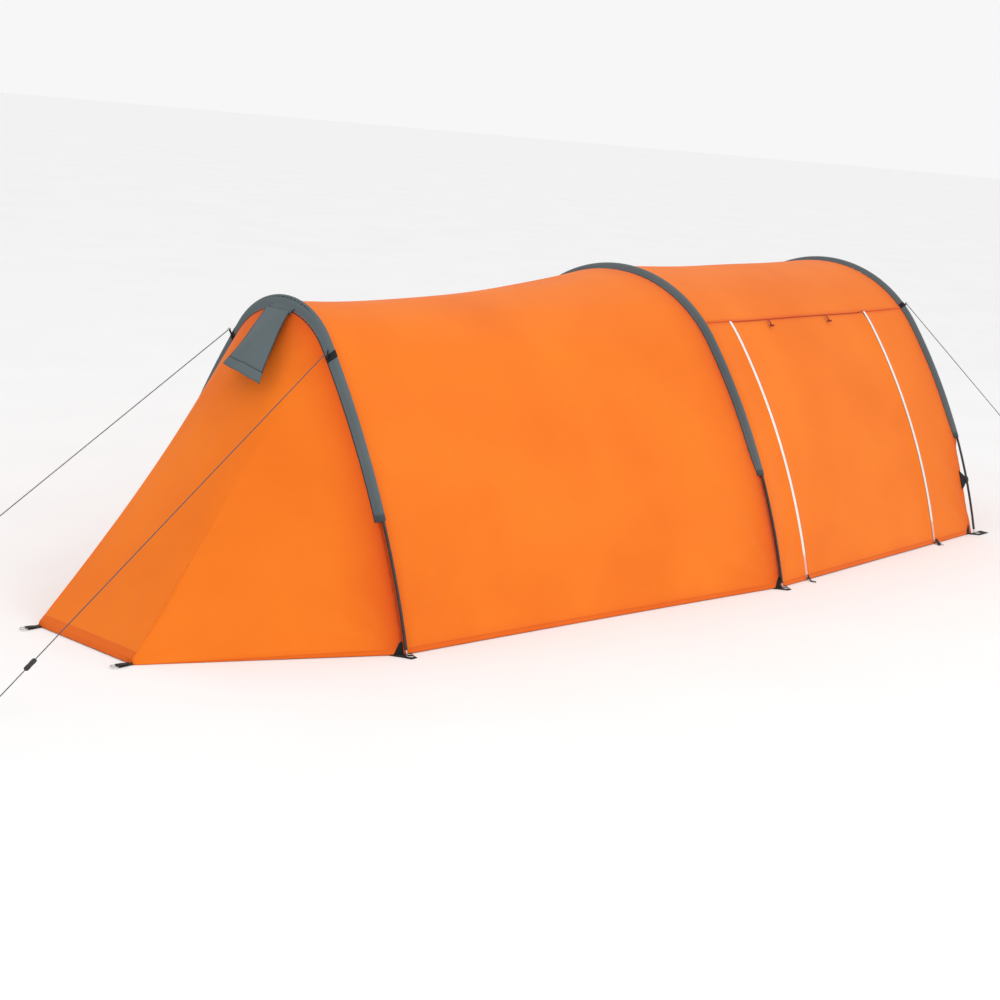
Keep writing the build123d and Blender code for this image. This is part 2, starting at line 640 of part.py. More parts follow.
def make_guys():
    """Four guy lines, each with its clip on the sleeve, its end knot and its runner."""
    rows = (
        ("rear", REAR_ARCH, -1, CLIP_HEIGHT_REAR, GUY_REAR_END),
        ("front", FRONT_ARCH, 1, CLIP_HEIGHT_FRONT, GUY_FRONT_END),
    )
    for name, arch, lengthwise, clip_z, near_end in rows:
        for side_name, sign in SIDES.items():
            tag = f"{name}_{side_name}"
            pole, out = pole_point(arch, sign, clip_z)
            frame = Plane(origin=pole, x_dir=(1, 0, 0), z_dir=out)
            keep(f"guy_clip_{tag}", frame * guy_clip(lengthwise))
            reach = SLEEVE_WIDTH / 2 + SEAM_GAP + CLIP_WALL + EAR_REACH
            rise = SLEEVE_THICKNESS / 2 + SEAM_GAP - EAR_SIZE / 2
            ear = pole + Vector(lengthwise * reach, 0, 0) + out * rise
            end = Vector(near_end.X, -sign * near_end.Y, near_end.Z)
            along = (end - ear).normalized()
            start = ear + along * (GUY_DIAMETER / 2)
            length = (end - start).length
            line = Solid.make_cylinder(GUY_DIAMETER / 2, length, Plane(origin=start, z_dir=along))
            knot = Pos(*end) * Sphere(GUY_KNOT_RADIUS)
            keep(f"guy_line_{tag}", line + knot)
            at = end - along * RUNNER_FROM_END
            block = Box(RUNNER_WIDTH, RUNNER_THICKNESS, RUNNER_LENGTH)
            runner = block - Cylinder(RUNNER_BORE / 2, 2 * RUNNER_LENGTH)
            keep(f"guy_runner_{tag}", Plane(origin=at, z_dir=along) * runner)


def main():
    """Build every piece and write one STEP file for each."""
    make_fly()
    make_porch()
    make_door()
    make_zips()
    make_front_panel()
    make_poles()
    make_feet()
    make_rear_loops()
    make_hook_tabs()
    make_vent()
    make_inner()
    make_guys()
    os.makedirs("parts", exist_ok=True)
    for name, solid in PARTS.items():
        export_step(solid, f"parts/{name}.step")
    print(len(PARTS), "nodes")


main()
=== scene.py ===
# %% [markdown]
# A two-person tunnel tent stands on three bent poles, pegged out and guyed.
# Its outer tent is one thin skin pulled tight over the poles, so nearly every
# piece here is a surface worked out from two numbers: how far along the tent,
# and how far up and over the arch. The frame from the CAD model comes first,
# and everything is placed in its metres.
# %% Load the frame
import math

import bpy
import numpy as np
from mathutils import Matrix, Vector


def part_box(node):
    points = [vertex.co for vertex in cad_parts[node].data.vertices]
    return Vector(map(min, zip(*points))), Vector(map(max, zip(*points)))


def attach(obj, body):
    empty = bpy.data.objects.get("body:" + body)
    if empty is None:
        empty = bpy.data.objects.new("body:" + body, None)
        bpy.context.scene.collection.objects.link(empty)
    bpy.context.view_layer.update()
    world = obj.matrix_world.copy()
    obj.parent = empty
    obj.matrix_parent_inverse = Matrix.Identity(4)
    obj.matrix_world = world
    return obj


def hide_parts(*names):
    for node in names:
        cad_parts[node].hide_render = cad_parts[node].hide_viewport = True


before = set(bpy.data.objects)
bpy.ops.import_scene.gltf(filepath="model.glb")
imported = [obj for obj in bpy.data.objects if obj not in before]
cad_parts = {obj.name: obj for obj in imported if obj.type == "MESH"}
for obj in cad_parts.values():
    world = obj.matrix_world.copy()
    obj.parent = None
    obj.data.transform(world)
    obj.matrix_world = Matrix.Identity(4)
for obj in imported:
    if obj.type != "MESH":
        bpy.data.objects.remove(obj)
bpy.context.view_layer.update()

# %% [markdown]
# The camera stands low on the door side of the rear end. It is turned by
# three plain angles, and its small shift keeps the tent where the frame
# wants it.
# %% Camera
CAMERA_PLACE = (-5.149, -4.032, 1.664)
CAMERA_YAW, CAMERA_PITCH, CAMERA_ROLL = 0.872, 0.232, 0.086


def camera_turn(yaw, pitch, roll):
    """Right, up and backward directions of a camera turned by three angles."""
    ahead = np.array([math.sin(yaw) * math.cos(pitch), math.cos(yaw) * math.cos(pitch), -math.sin(pitch)])
    right = np.array([math.cos(yaw), -math.sin(yaw), 0.0])
    up = np.cross(right, ahead)
    right, up = math.cos(roll) * right + math.sin(roll) * up, -math.sin(roll) * right + math.cos(roll) * up
    return Matrix(np.stack([right, up, -ahead], axis=1).tolist()).to_4x4()


camera_data = bpy.data.cameras.new("camera")
camera_data.lens, camera_data.sensor_width = 66.06, 36.0
camera_data.shift_x, camera_data.shift_y = 0.0382, 0.0148
camera_data.clip_end = 60.0
camera = bpy.data.objects.new("camera", camera_data)
camera.matrix_world = Matrix.Translation(CAMERA_PLACE) @ camera_turn(CAMERA_YAW, CAMERA_PITCH, CAMERA_ROLL)
bpy.context.scene.collection.objects.link(camera)
bpy.context.scene.camera = camera
print("camera at", CAMERA_PLACE)

# %% [markdown]
# Finishes come next, because each piece is given one as it is made. Cloth has two crossing sets of threads in its bump,
# a slow drift of colour, and a darker tone that each piece stores: painted shade on the fly beside the sleeves, and a
# darker band along seams, hems, folds and edges.
# %% Finishes


def new_finish(name):
    """A new material, its nodes, and its shader."""
    made = bpy.data.materials.new(name)
    made.use_nodes = True
    nodes = made.node_tree.nodes
    return made, nodes, made.node_tree.links, nodes["Principled BSDF"]


def noise_colour(nodes, links, source, scale, dark, light):
    """A colour that drifts between two tones with a soft noise."""
    noise = nodes.new("ShaderNodeTexNoise")
    noise.inputs["Scale"].default_value = scale
    noise.inputs["Detail"].default_value = 4.0
    ramp = nodes.new("ShaderNodeValToRGB")
    ramp.color_ramp.elements[0].position = 0.35
    ramp.color_ramp.elements[1].position = 0.65
    ramp.color_ramp.elements[0].color = (*dark, 1)
    ramp.color_ramp.elements[1].color = (*light, 1)
    links.new(source, noise.inputs["Vector"])
    links.new(noise.outputs["Fac"], ramp.inputs["Fac"])
    return ramp.outputs["Color"]


def cloth_finish(name, dark, light, seam_and_shade, roughness=0.78, sheen=0.06, threads=420.0, depth=0.25):
    """Woven cloth: crossed thread bump on its own UV, colour drift, and a darker tone by the attribute: painted shade
    beside the sleeves, and a darker band on seams, hems, folds and edges.
    """
    made, nodes, links, shader = new_finish(name)
    coordinates = nodes.new("ShaderNodeTexCoord")
    colour = noise_colour(nodes, links, coordinates.outputs["Object"], 2.3, dark, light)
    # The attribute mixes in the third colour: painted shade beside the sleeves, and a darker band along seams, hems,
    # folds and edges.
    tone = nodes.new("ShaderNodeAttribute")
    tone.attribute_name = "seam_and_shade"
    mix = nodes.new("ShaderNodeMix")
    mix.data_type = "RGBA"
    mix.inputs["B"].default_value = (*seam_and_shade, 1)
    links.new(colour, mix.inputs["A"])
    links.new(tone.outputs["Fac"], mix.inputs["Factor"])
    links.new(mix.outputs["Result"], shader.inputs["Base Color"])
    waves = []
    for direction in ("X", "Y"):
        wave = nodes.new("ShaderNodeTexWave")
        wave.bands_direction = direction
        wave.inputs["Scale"].default_value = threads
        wave.inputs["Distortion"].default_value = 0.6
        links.new(coordinates.outputs["UV"], wave.inputs["Vector"])
        waves.append(wave)
    weave = nodes.new("ShaderNodeMath")
    weave.operation = "MAXIMUM"
    links.new(waves[0].outputs["Fac"], weave.inputs[0])
    links.new(waves[1].outputs["Fac"], weave.inputs[1])
    bump = nodes.new("ShaderNodeBump")
    bump.inputs["Strength"].default_value = depth
    bump.inputs["Distance"].default_value = 0.0004
    links.new(weave.outputs[0], bump.inputs["Height"])
    crumple = nodes.new("ShaderNodeTexNoise")
    crumple.inputs["Scale"].default_value = 26.0
    crumple.inputs["Detail"].default_value = 3.0
    links.new(coordinates.outputs["Object"], crumple.inputs["Vector"])
    soft = nodes.new("ShaderNodeBump")
    soft.inputs["Strength"].default_value = 0.25
    soft.inputs["Distance"].default_value = 0.0012
    links.new(crumple.outputs["Fac"], soft.inputs["Height"])
    links.new(bump.outputs["Normal"], soft.inputs["Normal"])
    links.new(soft.outputs["Normal"], shader.inputs["Normal"])
    shader.inputs["Roughness"].default_value = roughness
    shader.inputs["Sheen Weight"].default_value = sheen
    shader.inputs["Specular IOR Level"].default_value = 0.22
    return made


def hard_finish(name, dark, light, roughness, metallic=0.0, grain=60.0, depth=0.15, rough_span=0.12):
    """Plastic, metal or fibreglass: fine noise in colour, in roughness and in the bump."""
    made, nodes, links, shader = new_finish(name)
    coordinates = nodes.new("ShaderNodeTexCoord")
    colour = noise_colour(nodes, links, coordinates.outputs["Object"], grain, dark, light)
    links.new(colour, shader.inputs["Base Color"])
    noise = nodes.new("ShaderNodeTexNoise")
    noise.inputs["Scale"].default_value = grain * 9
    links.new(coordinates.outputs["Object"], noise.inputs["Vector"])
    span = nodes.new("ShaderNodeMapRange")
    span.inputs["To Min"].default_value = roughness - rough_span
    span.inputs["To Max"].default_value = roughness + rough_span
    links.new(noise.outputs["Fac"], span.inputs["Value"])
    links.new(span.outputs["Result"], shader.inputs["Roughness"])
    bump = nodes.new("ShaderNodeBump")
    bump.inputs["Strength"].default_value = depth
    bump.inputs["Distance"].default_value = 0.0003
    links.new(noise.outputs["Fac"], bump.inputs["Height"])
    links.new(bump.outputs["Normal"], shader.inputs["Normal"])
    shader.inputs["Metallic"].default_value = metallic
    return made


# The orange cloth's third colour, a dark red-orange, is painted shade beside the sleeves, and the darker band along
# seams and hems.
ORANGE_CLOTH = cloth_finish("orange_fly_cloth", (0.83, 0.168, 0.006), (0.89, 0.198, 0.009), (0.60, 0.035, 0.001))
SLATE_CLOTH = cloth_finish("slate_sleeve_cloth", (0.085, 0.112, 0.122), (0.115, 0.145, 0.155), (0.012, 0.014, 0.016))
WEBBING = cloth_finish("black_webbing", (0.008, 0.008, 0.009), (0.02, 0.02, 0.022), (0.03, 0.03, 0.03),
                       threads=160, depth=0.6)
INNER_CLOTH = cloth_finish("pale_inner_cloth", (0.62, 0.58, 0.5), (0.7, 0.66, 0.58), (0.35, 0.32, 0.28))
FLOOR_CLOTH = cloth_finish("grey_floor_cloth", (0.11, 0.12, 0.125), (0.16, 0.17, 0.175), (0.04, 0.04, 0.045),
                           roughness=0.45)
ZIP_TAPE = cloth_finish("white_zip_tape", (0.8, 0.78, 0.75), (0.9, 0.88, 0.86), (0.8, 0.35, 0.26), threads=300)
NET = cloth_finish("black_insect_net", (0.01, 0.01, 0.012), (0.03, 0.03, 0.033), (0.01, 0.01, 0.01),
                   threads=110, depth=1.0)
CORD = hard_finish("dark_braided_cord", (0.03, 0.03, 0.035), (0.12, 0.12, 0.13), 0.7, grain=900, depth=0.5)
FIBREGLASS = hard_finish("black_fibreglass", (0.010, 0.010, 0.011), (0.022, 0.022, 0.024), 0.28, grain=30)
STEEL = hard_finish("bright_steel", (0.5, 0.5, 0.51), (0.72, 0.72, 0.73), 0.27, metallic=1.0, grain=80)
BLACK_PLASTIC = hard_finish("black_plastic", (0.012, 0.012, 0.013), (0.024, 0.024, 0.026), 0.45, grain=120)
SLIDER_METAL = hard_finish("painted_slider", (0.7, 0.5, 0.44), (0.85, 0.66, 0.58), 0.35, metallic=0.3, grain=150)
TOGGLE_CLOTH = cloth_finish("red_toggle_cord", (0.22, 0.018, 0.008), (0.34, 0.03, 0.012), (0.1, 0.01, 0.005),
                            threads=300)
THREAD = hard_finish("orange_thread", (0.5, 0.06, 0.006), (0.62, 0.09, 0.01), 0.7, grain=300)
print("finishes", len(bpy.data.materials))

# %% [markdown]
# Every surface is a grid of points. One helper turns such a grid into a mesh
# whose UV map is in metres along its own two directions, and rides it on the
# body of the frame that moves it.
# %% Grid helper


def lengths(points, axis):
    """Metres travelled along one direction of a grid, summed from point to point."""
    steps = np.linalg.norm(np.diff(points, axis=axis), axis=-1)
    pad = [(0, 0), (0, 0)]
    pad[axis] = (1, 0)
    return np.cumsum(np.pad(steps, pad), axis=axis)


def surface(name, points, finish, body="tent", thickness=0.0, wrap=(False, False), seam_and_shade=None, drop=None, flip=False):
    """Mesh from a grid of points (rows, columns, 3).

    wrap joins the last row or column to the first, and drop leaves cells out.
    """
    rows, columns = points.shape[:2]
    index = np.arange(rows * columns).reshape(rows, columns)
    cell_rows = np.arange(rows if wrap[0] else rows - 1)
    cell_columns = np.arange(columns if wrap[1] else columns - 1)
    i, j = np.meshgrid(cell_rows, cell_columns, indexing="ij")
    if drop is not None:
        kept = ~drop
        i, j = i[kept], j[kept]
    i, j = i.ravel(), j.ravel()
    i2, j2 = (i + 1) % rows, (j + 1) % columns
    quads = np.stack([index[i, j], index[i2, j], index[i2, j2], index[i, j2]], axis=1)
    if flip:
        quads = quads[:, ::-1]
    used = np.unique(quads)
    place = np.full(rows * columns, -1)
    place[used] = np.arange(len(used))
    quads = place[quads]
    mesh = bpy.data.meshes.new(name)
    mesh.from_pydata(points.reshape(-1, 3)[used].tolist(), [], quads.tolist())
    along, across = lengths(points, 0).ravel()[used], lengths(points, 1).ravel()[used]
    layer = mesh.uv_layers.new(name="metres")
    layer.data.foreach_set("uv", np.stack([along[quads.ravel()], across[quads.ravel()]], axis=1).ravel())
    tone = mesh.attributes.new("seam_and_shade", "FLOAT", "POINT")
    values = np.zeros(rows * columns) if seam_and_shade is None else np.broadcast_to(seam_and_shade, (rows, columns)).ravel()
    tone.data.foreach_set("value", values[used].astype(np.float32))
    mesh.polygons.foreach_set("use_smooth", np.ones(len(quads), bool))
    mesh.materials.append(finish)
    piece = bpy.data.objects.new(name, mesh)
    bpy.context.scene.collection.objects.link(piece)
    if thickness:
        solid = piece.modifiers.new("cloth thickness", "SOLIDIFY")
        solid.thickness, solid.offset = thickness, -1.0
        solid.use_even_offset = False
    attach(piece, body)
    return piece


def unit(vectors):
    """Vectors divided by their lengths."""
    return vectors / np.maximum(np.linalg.norm(vectors, axis=-1, keepdims=True), 1e-12)


def carry(name, line, radii, finish, body="tent", around=16, side=(0, 0, 1)):
    """Round closed form: rings of the given radii carried along a line of points, its ends drawn to a point."""
    line, radii = np.asarray(line, float), np.asarray(radii, float)
    along = unit(np.gradient(line, axis=0))
    first = unit(np.cross(along, np.broadcast_to(np.asarray(side, float), along.shape)))
    second = np.cross(along, first)
    turn = np.linspace(0, 2 * math.pi, around, endpoint=False)
    points = line[:, None] + radii[:, None, None] * (
        np.cos(turn)[None, :, None] * first[:, None] + np.sin(turn)[None, :, None] * second[:, None]
    )
    return surface(name, points, finish, body, wrap=(False, True), flip=True)


def capped(radius, count=5):
    """Radii and offsets of a rounded end: a quarter circle from nothing to the full radius."""
    turn = np.linspace(0.02, math.pi / 2, count)
    return radius * np.sin(turn), radius * (1 - np.cos(turn))


def rod(name, start, end, radius, finish, body="tent", around=14, side=(0, 0, 1)):
    """Straight round rod with rounded ends."""
    start, end = np.asarray(start, float), np.asarray(end, float)
    length = np.linalg.norm(end - start)
    grow, reach = capped(min(radius, length / 2.01))
    at = np.concatenate([reach, (length - reach)[::-1]])
    radii = np.concatenate([grow, grow[::-1]])
    line = start + (end - start) * (at / length)[:, None]
    return carry(name, line, radii, finish, body, around, side)


# %% [markdown]
# A guy line is a thin braided cord held taut from a clip on its sleeve down
# to a peg. It is drawn first, as a smooth spline with a round bevel. Its end
# is tied in a small knot, which is lumpy: three turns of cord round a core.
# %% Guy lines
CLIP_EARS = {
    "rear_near": (-1.2939, -0.21888, 0.84719),
    "front_near": (2.0059, -0.37881, 0.89785),
}
GUY_ENDS = {"rear_near": (-2.56, -0.335, 0.005), "front_near": (2.75, -1.01, 0.005)}
GUY_DIAMETER = 0.003
RUNNER_FROM_END = 0.19


def mirrored(point):
    """The same place on the far side of the tent."""
    return (point[0], -point[1], point[2])


guys = {}
for key in list(CLIP_EARS):
    guys[key] = (np.array(CLIP_EARS[key]), np.array(GUY_ENDS[key]))
    guys[key.replace("near", "far")] = tuple(np.array(mirrored(p)) for p in (CLIP_EARS[key], GUY_ENDS[key]))


def knot(name, centre, radius, body="tent"):
    """A tied lump of cord: a closed line that winds three times round a ring and twice through it."""
    turn = np.linspace(0, 2 * math.pi, 120, endpoint=False)
    swing = 0.55 * radius + 0.22 * radius * np.cos(3 * turn)
    line = np.stack([swing * np.cos(2 * turn), swing * np.sin(2 * turn), 0.3 * radius * np.sin(3 * turn)], axis=1)
    along = unit(np.roll(line, -1, axis=0) - np.roll(line, 1, axis=0))
    first = unit(np.cross(along, [0.0, 0.0, 1.0]))
    second = np.cross(along, first)
    ring = np.linspace(0, 2 * math.pi, 10, endpoint=False)
    wire = 0.24 * radius
    points = np.asarray(centre) + line[:, None] + wire * (
        np.cos(ring)[None, :, None] * first[:, None] + np.sin(ring)[None, :, None] * second[:, None]
    )
    return surface(name, points, CORD, body, wrap=(True, True), flip=True)


def guy_runner(name, centre, along, body):
    """Runner: a flat rounded bar with a waist, bored through for the cord."""
    wide = unit(np.cross(along, [0.0, 0.0, 1.0]))
    thick = np.cross(wide, along)
    half = 0.0208
    t = np.linspace(-1, 1, 27)
    profile = (1 - np.abs(t) ** 5) ** 0.4
    waist = 1 - 0.22 * np.exp(-((t / 0.35) ** 2))
    turn = np.linspace(0, 2 * math.pi, 28, endpoint=False)
    c, s = np.cos(turn), np.sin(turn)
    square = (np.abs(c) ** 3 + np.abs(s) ** 3) ** (-1 / 3)
    bore = 0.00205
    w = bore + 0.0003 + (0.0078 - bore) * profile * waist
    h = bore + 0.0003 + (0.0043 - bore) * profile
    outer = half * t[:, None, None] * along + (w[:, None] * square * c)[..., None] * wide
    outer = outer + (h[:, None] * square * s)[..., None] * thick
    back = np.linspace(1, -1, 5)
    inner = half * back[:, None, None] * along + bore * (c[None, :, None] * wide + s[None, :, None] * thick)
    points = np.asarray(centre) + np.concatenate([outer, inner])
    return surface(name, points, BLACK_PLASTIC, body, wrap=(True, True), flip=False)


guy_pieces = {}
for key, (ear, end) in guys.items():
    along = (end - ear) / np.linalg.norm(end - ear)
    start = ear + along * (GUY_DIAMETER / 2)
    length = float(np.linalg.norm(end - start))
    curve = bpy.data.curves.new(f"guy_cord_{key}", "CURVE")
    curve.dimensions = "3D"
    curve.bevel_depth = GUY_DIAMETER / 2
    curve.bevel_resolution = 3
    curve.resolution_u = 8
    curve.use_fill_caps = True
    spline = curve.splines.new("NURBS")
    places = [0.0, 0.018, 0.35 * length, 0.7 * length, length - 0.018, length]
    spline.points.add(len(places) - 1)
    for point, place in zip(spline.points, places):
        point.co = (*(start + along * place), 1.0)
    spline.order_u = 3
    spline.use_endpoint_u = True
    curve.materials.append(CORD)
    line = bpy.data.objects.new(f"guy_cord_{key}", curve)
    bpy.context.scene.collection.objects.link(line)
    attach(line, "tent")
    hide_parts(f"guy_line_{key}")
    tied = knot(f"guy_knot_{key}", end, 0.0062)
    tied.data.transform(Matrix.Translation((0, 0, 0.0006)))
    block = guy_runner(f"runner_{key}", end - along * RUNNER_FROM_END, along, f"runner_{key}")
    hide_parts(f"guy_runner_{key}")
    guy_pieces[key] = line
    print(f"guy line {key}: {length:.3f} m")

# %% [markdown]
# The arches decide every other shape. Each is two long side arcs and a
# rounder crown arc that meet without a corner. A place on an arch is one
# number from 0 at the near foot, 1 and 2 where the arcs meet, to 3 at the far
# foot.
# %% Arches
REAR_HEM_X, REAR_HEM_HALF, REAR_HEM_RISE = -1.980, 0.220, 0.014
SLEEVE_END_Z = 0.385


def arch(x, half_span, top, crown_radius, crown_angle, cloth):
    """Radii and centres of an arch: its crown circle, and the side circles that touch it and reach the ground."""
    angle = math.radians(crown_angle)
    crown_z = top - crown_radius
    across = (math.sin(angle), math.cos(angle))
    joint = (crown_radius * across[0], crown_z + crown_radius * across[1])
    gap = (joint[0] - half_span, joint[1])
    side = (gap[0] ** 2 + gap[1] ** 2) / (2 * (gap[0] * across[0] + gap[1] * across[1]))
    return {"x": x, "crown": crown_radius, "angle": angle, "crown_z": crown_z, "side": side, "cloth": cloth,
            "side_y": joint[0] - side * across[0], "side_z": joint[1] - side * across[1],
            "joint": math.pi / 2 - angle}


REAR = arch(-1.268, 0.607, 0.978, 0.236, 55.0, 0.011)
MIDDLE = arch(0.451, 0.845, 1.043, 0.552, 52.5, 0.007)
FRONT = arch(1.980, 0.845, 1.043, 0.552, 52.5, 0.007)
SAG = arch(-0.4085, 0.718, 0.9685, 0.394, 53.75, 0.007)


def on_arch(a, v, inset=0.0):
    """Points of an arch at the places v: side arc, crown arc, side arc, drawn in by inset."""
    v = np.asarray(v, float)
    low = np.arcsin(-a["side_z"] / (a["side"] - inset))
    share = np.where(v < 1, v, np.where(v > 2, 3 - v, 1.0))
    angle = low + (a["joint"] - low) * share
    sign = np.where(v < 1.5, -1.0, 1.0)
    side_y = sign * (a["side_y"] + (a["side"] - inset) * np.cos(angle))
    side_z = a["side_z"] + (a["side"] - inset) * np.sin(angle)
    over = a["angle"] * (2 * (v - 1) - 1)
    crown_y = (a["crown"] - inset) * np.sin(over)
    crown_z = a["crown_z"] + (a["crown"] - inset) * np.cos(over)
    top = (v >= 1) & (v <= 2)
    return np.stack([np.full(v.shape, a["x"]), np.where(top, crown_y, side_y), np.where(top, crown_z, side_z)], axis=-1)


def place_at(a, z, inset=0.0):
    """The place on the near side arc at the height z."""
    low = math.asin(-a["side_z"] / (a["side"] - inset))
    return (math.asin((z - a["side_z"]) / (a["side"] - inset)) - low) / (a["joint"] - low)


def crown_place(a, degrees):
    """The place on the crown arc at an angle from the top, positive to the far side."""
    return 1.5 + math.radians(degrees) / (2 * a["angle"])


print("side radii", [round(a["side"], 3) for a in (REAR, MIDDLE, FRONT)])

# %% [markdown]
# The fly is tight, but it isn't a tin sheet. It dips between the poles, it
# puckers where it is gathered on a sleeve, and soft creases fan out from the
# pegged feet. All of that is worked out as one movement along the surface's
# own outward direction, so hems and seams can follow it exactly.
# %% The fly's shape


def hem_section(v):
    """Rear hem: a short turned-up edge at each corner and a straight line between."""
    v = np.asarray(v, float)
    up = np.clip(np.where(v < 1.5, v, 3 - v), 0, 1)
    y = np.where(v < 1, -(REAR_HEM_HALF - 0.007 * up), np.where(v > 2, REAR_HEM_HALF - 0.007 * up, 0.0))
    over = (v >= 1) & (v <= 2)
    swing = np.clip((v - 1.5) / 0.42, -1, 1)
    y = np.where(over, (REAR_HEM_HALF - 0.007) * swing * (1.5 - 0.5 * swing ** 2), y)
    return np.stack([np.full(v.shape, REAR_HEM_X), y, REAR_HEM_RISE * up], axis=-1)


def fly_base(bay, t, v):
    """Smooth fly: rear bay straight from hem to arch, main bay through three arches, porch one section drawn along."""
    t = np.asarray(t, float)[..., None]
    if bay == "rear":
        return (1 - t) * hem_section(v) + t * on_arch(REAR, v, REAR["cloth"])
    if bay == "main":
        first, middle, last = (on_arch(a, v, a["cloth"]) for a in (REAR, SAG, MIDDLE))
        return (1 - t) * (1 - 2 * t) * first + 4 * t * (1 - t) * middle + t * (2 * t - 1) * last
    section = on_arch(MIDDLE, v, MIDDLE["cloth"])
    section = section.copy()
    section[..., 0] = 0.0
    x = MIDDLE["x"] + t * (FRONT["x"] + 0.016 - MIDDLE["x"])
    return section + x * np.array([1.0, 0.0, 0.0])


BAYS = {
    "rear": {"x": (REAR_HEM_X, REAR["x"]), "feet": (1,), "sag": 0.020, "gather": (1,)},
    "main": {"x": (REAR["x"], MIDDLE["x"]), "feet": (0, 1), "sag": 0.0, "gather": (0, 1)},
    "porch": {"x": (MIDDLE["x"], FRONT["x"] + 0.016), "feet": (0, 1), "sag": 0.007, "gather": (0, 1)},
}
ZIP_X = (0.635, 1.635)


def fly_relief(bay, x, s, half):
    """Outward movement of the cloth: sag between poles, puckers at sleeves, creases from feet, slow folds."""
    facts = BAYS[bay]
    x0, x1 = facts["x"]
    share = np.clip((x - x0) / (x1 - x0), 0, 1)
    low = np.minimum(s, 2 * half - s)
    lifted = np.clip(low / 0.22, 0, 1)
    move = -4 * share * (1 - share) * facts["sag"] * lifted * lifted * (3 - 2 * lifted)
    for end in facts["gather"]:
        d = np.abs(x - (x0, x1)[end])
        ripple = np.sin(2 * math.pi * s / 0.034 + 2.2 * np.sin(2 * math.pi * s / 0.41 + end))
        move = move + 0.0008 * np.exp(-d / 0.045) * (ripple - 0.6)
        if (bay, end) != ("rear", 1) and (bay, end) != ("main", 0):
            stands = np.clip((low - 0.36) / 0.10, 0, 1)
            move = move - 0.0115 * np.exp(-((d / 0.030) ** 2)) * stands * stands * (3 - 2 * stands)
    for end in facts["feet"]:
        for foot in (0.0, 2 * half):
            dx, ds = np.abs(x - (x0, x1)[end]), np.abs(s - foot)
            r = np.hypot(dx, ds) + 1e-6
            fan = np.arctan2(ds, dx + 1e-6)
            swell = np.exp(-r / 0.33) * np.clip((r - 0.03) / 0.12, 0, 1)
            move = move + 0.0042 * swell * (np.cos(13 * fan + 0.6) - 0.55) * np.clip(np.sin(fan) * 3, 0, 1)
    slow = np.sin(5.1 * x + 2.3 * s) * np.sin(3.7 * s - 1.9 * x + 0.7) + 0.5 * np.sin(9.2 * x - 4.1 * s + 1.3)
    drag = np.sin(2 * math.pi * (s + 0.05 * np.sin(4 * x)) / 0.21 + 0.8) * np.clip(low - 0.3, 0, 1)
    window = np.clip(share * 8, 0, 1) * np.clip((1 - share) * 8, 0, 1) * np.clip(low / 0.08, 0, 1)
    move = move + window * (0.0016 * slow + 0.0010 * drag - 0.0012)
    if bay == "porch":
        wall = 1 / (1 + np.exp((s - 0.92) / 0.02))
        for zip_x in ZIP_X:
            move = move * (1 - wall * np.exp(-(((x - zip_x) / 0.03) ** 4)))
    return move


def fly_point(bay, t, v, lift=0.0, relief=True):
    """Point of the finished fly at (t, v), lifted outwards by lift metres."""
    t, v = np.broadcast_arrays(np.asarray(t, float), np.asarray(v, float))
    base = fly_base(bay, t, v)
    e = 0.004
    v0, v1 = np.clip(v - e, 0, 3), np.clip(v + e, 0, 3)
    out = unit(np.cross(fly_base(bay, t + e, v) - fly_base(bay, t - e, v), fly_base(bay, t, v1) - fly_base(bay, t, v0)))
    arc = np.interp(v, [0, 1, 2, 3], [0, 0.83, 1.84, 2.67])
    move = fly_relief(bay, base[..., 0], arc, 1.335) if relief else 0.0
    return base + out * (move + lift)[..., None] if np.ndim(move) else base + out * lift


def v_stations(side, crown, extra=()):
    """Places along an arch, even on each arc, with any extra ones slotted in."""
    v = np.concatenate([np.linspace(0, 1, side + 1), np.linspace(1, 2, crown + 1)[1:], np.linspace(2, 3, side + 1)[1:]])
    return np.unique(np.round(np.concatenate([v, np.asarray(extra, float)]), 7))


def sleeve_shade_and_hem_tone(bay, x, v):
    """Painted shade on the cloth beside the sleeves, wider on their rear side, and a darker band along the hem."""
    facts = BAYS[bay]
    tone = np.zeros(np.broadcast(x, v).shape)
    # Painted shade: the cloth darkens towards each sleeve, over a wider reach on the sleeve's rear side.
    for end in facts["gather"]:
        reach = 0.055 if end == 1 else 0.016
        tone = np.maximum(tone, 0.8 * np.exp(-np.abs(x - facts["x"][end]) / reach))
    low = np.minimum(v, 3 - v) * 0.83
    return np.maximum(tone, 0.6 * np.exp(-low / 0.012))


# %% [markdown]
# Each bay is one continuous sheet from the near hem over the top to the far
# hem. The porch sheet has the doorway cut out of it, and its front edge is
# cut back below the sleeve, where the pole runs bare.
# %% Rear and main bays
sheets = {}
for bay, steps, side, crown in (("rear", 74, 70, 60), ("main", 150, 74, 64)):
    t = np.linspace(0, 1, steps + 1)[:, None]
    v = v_stations(side, crown)[None, :]
    points = fly_point(bay, t, v)
    points[..., 2] = np.maximum(points[..., 2], 0.0012)
    sheets[bay] = surface(f"fly_{bay}_bay", points, ORANGE_CLOTH, thickness=0.0009,
                          seam_and_shade=sleeve_shade_and_hem_tone(bay, points[..., 0], np.broadcast_to(v, points.shape[:2])))
    print(bay, "bay cells", points.shape[0] * points.shape[1])
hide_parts("fly_rear_slope", "fly_rear_near", "fly_rear_far")
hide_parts("fly_main_roof", "fly_main_near", "fly_main_far")

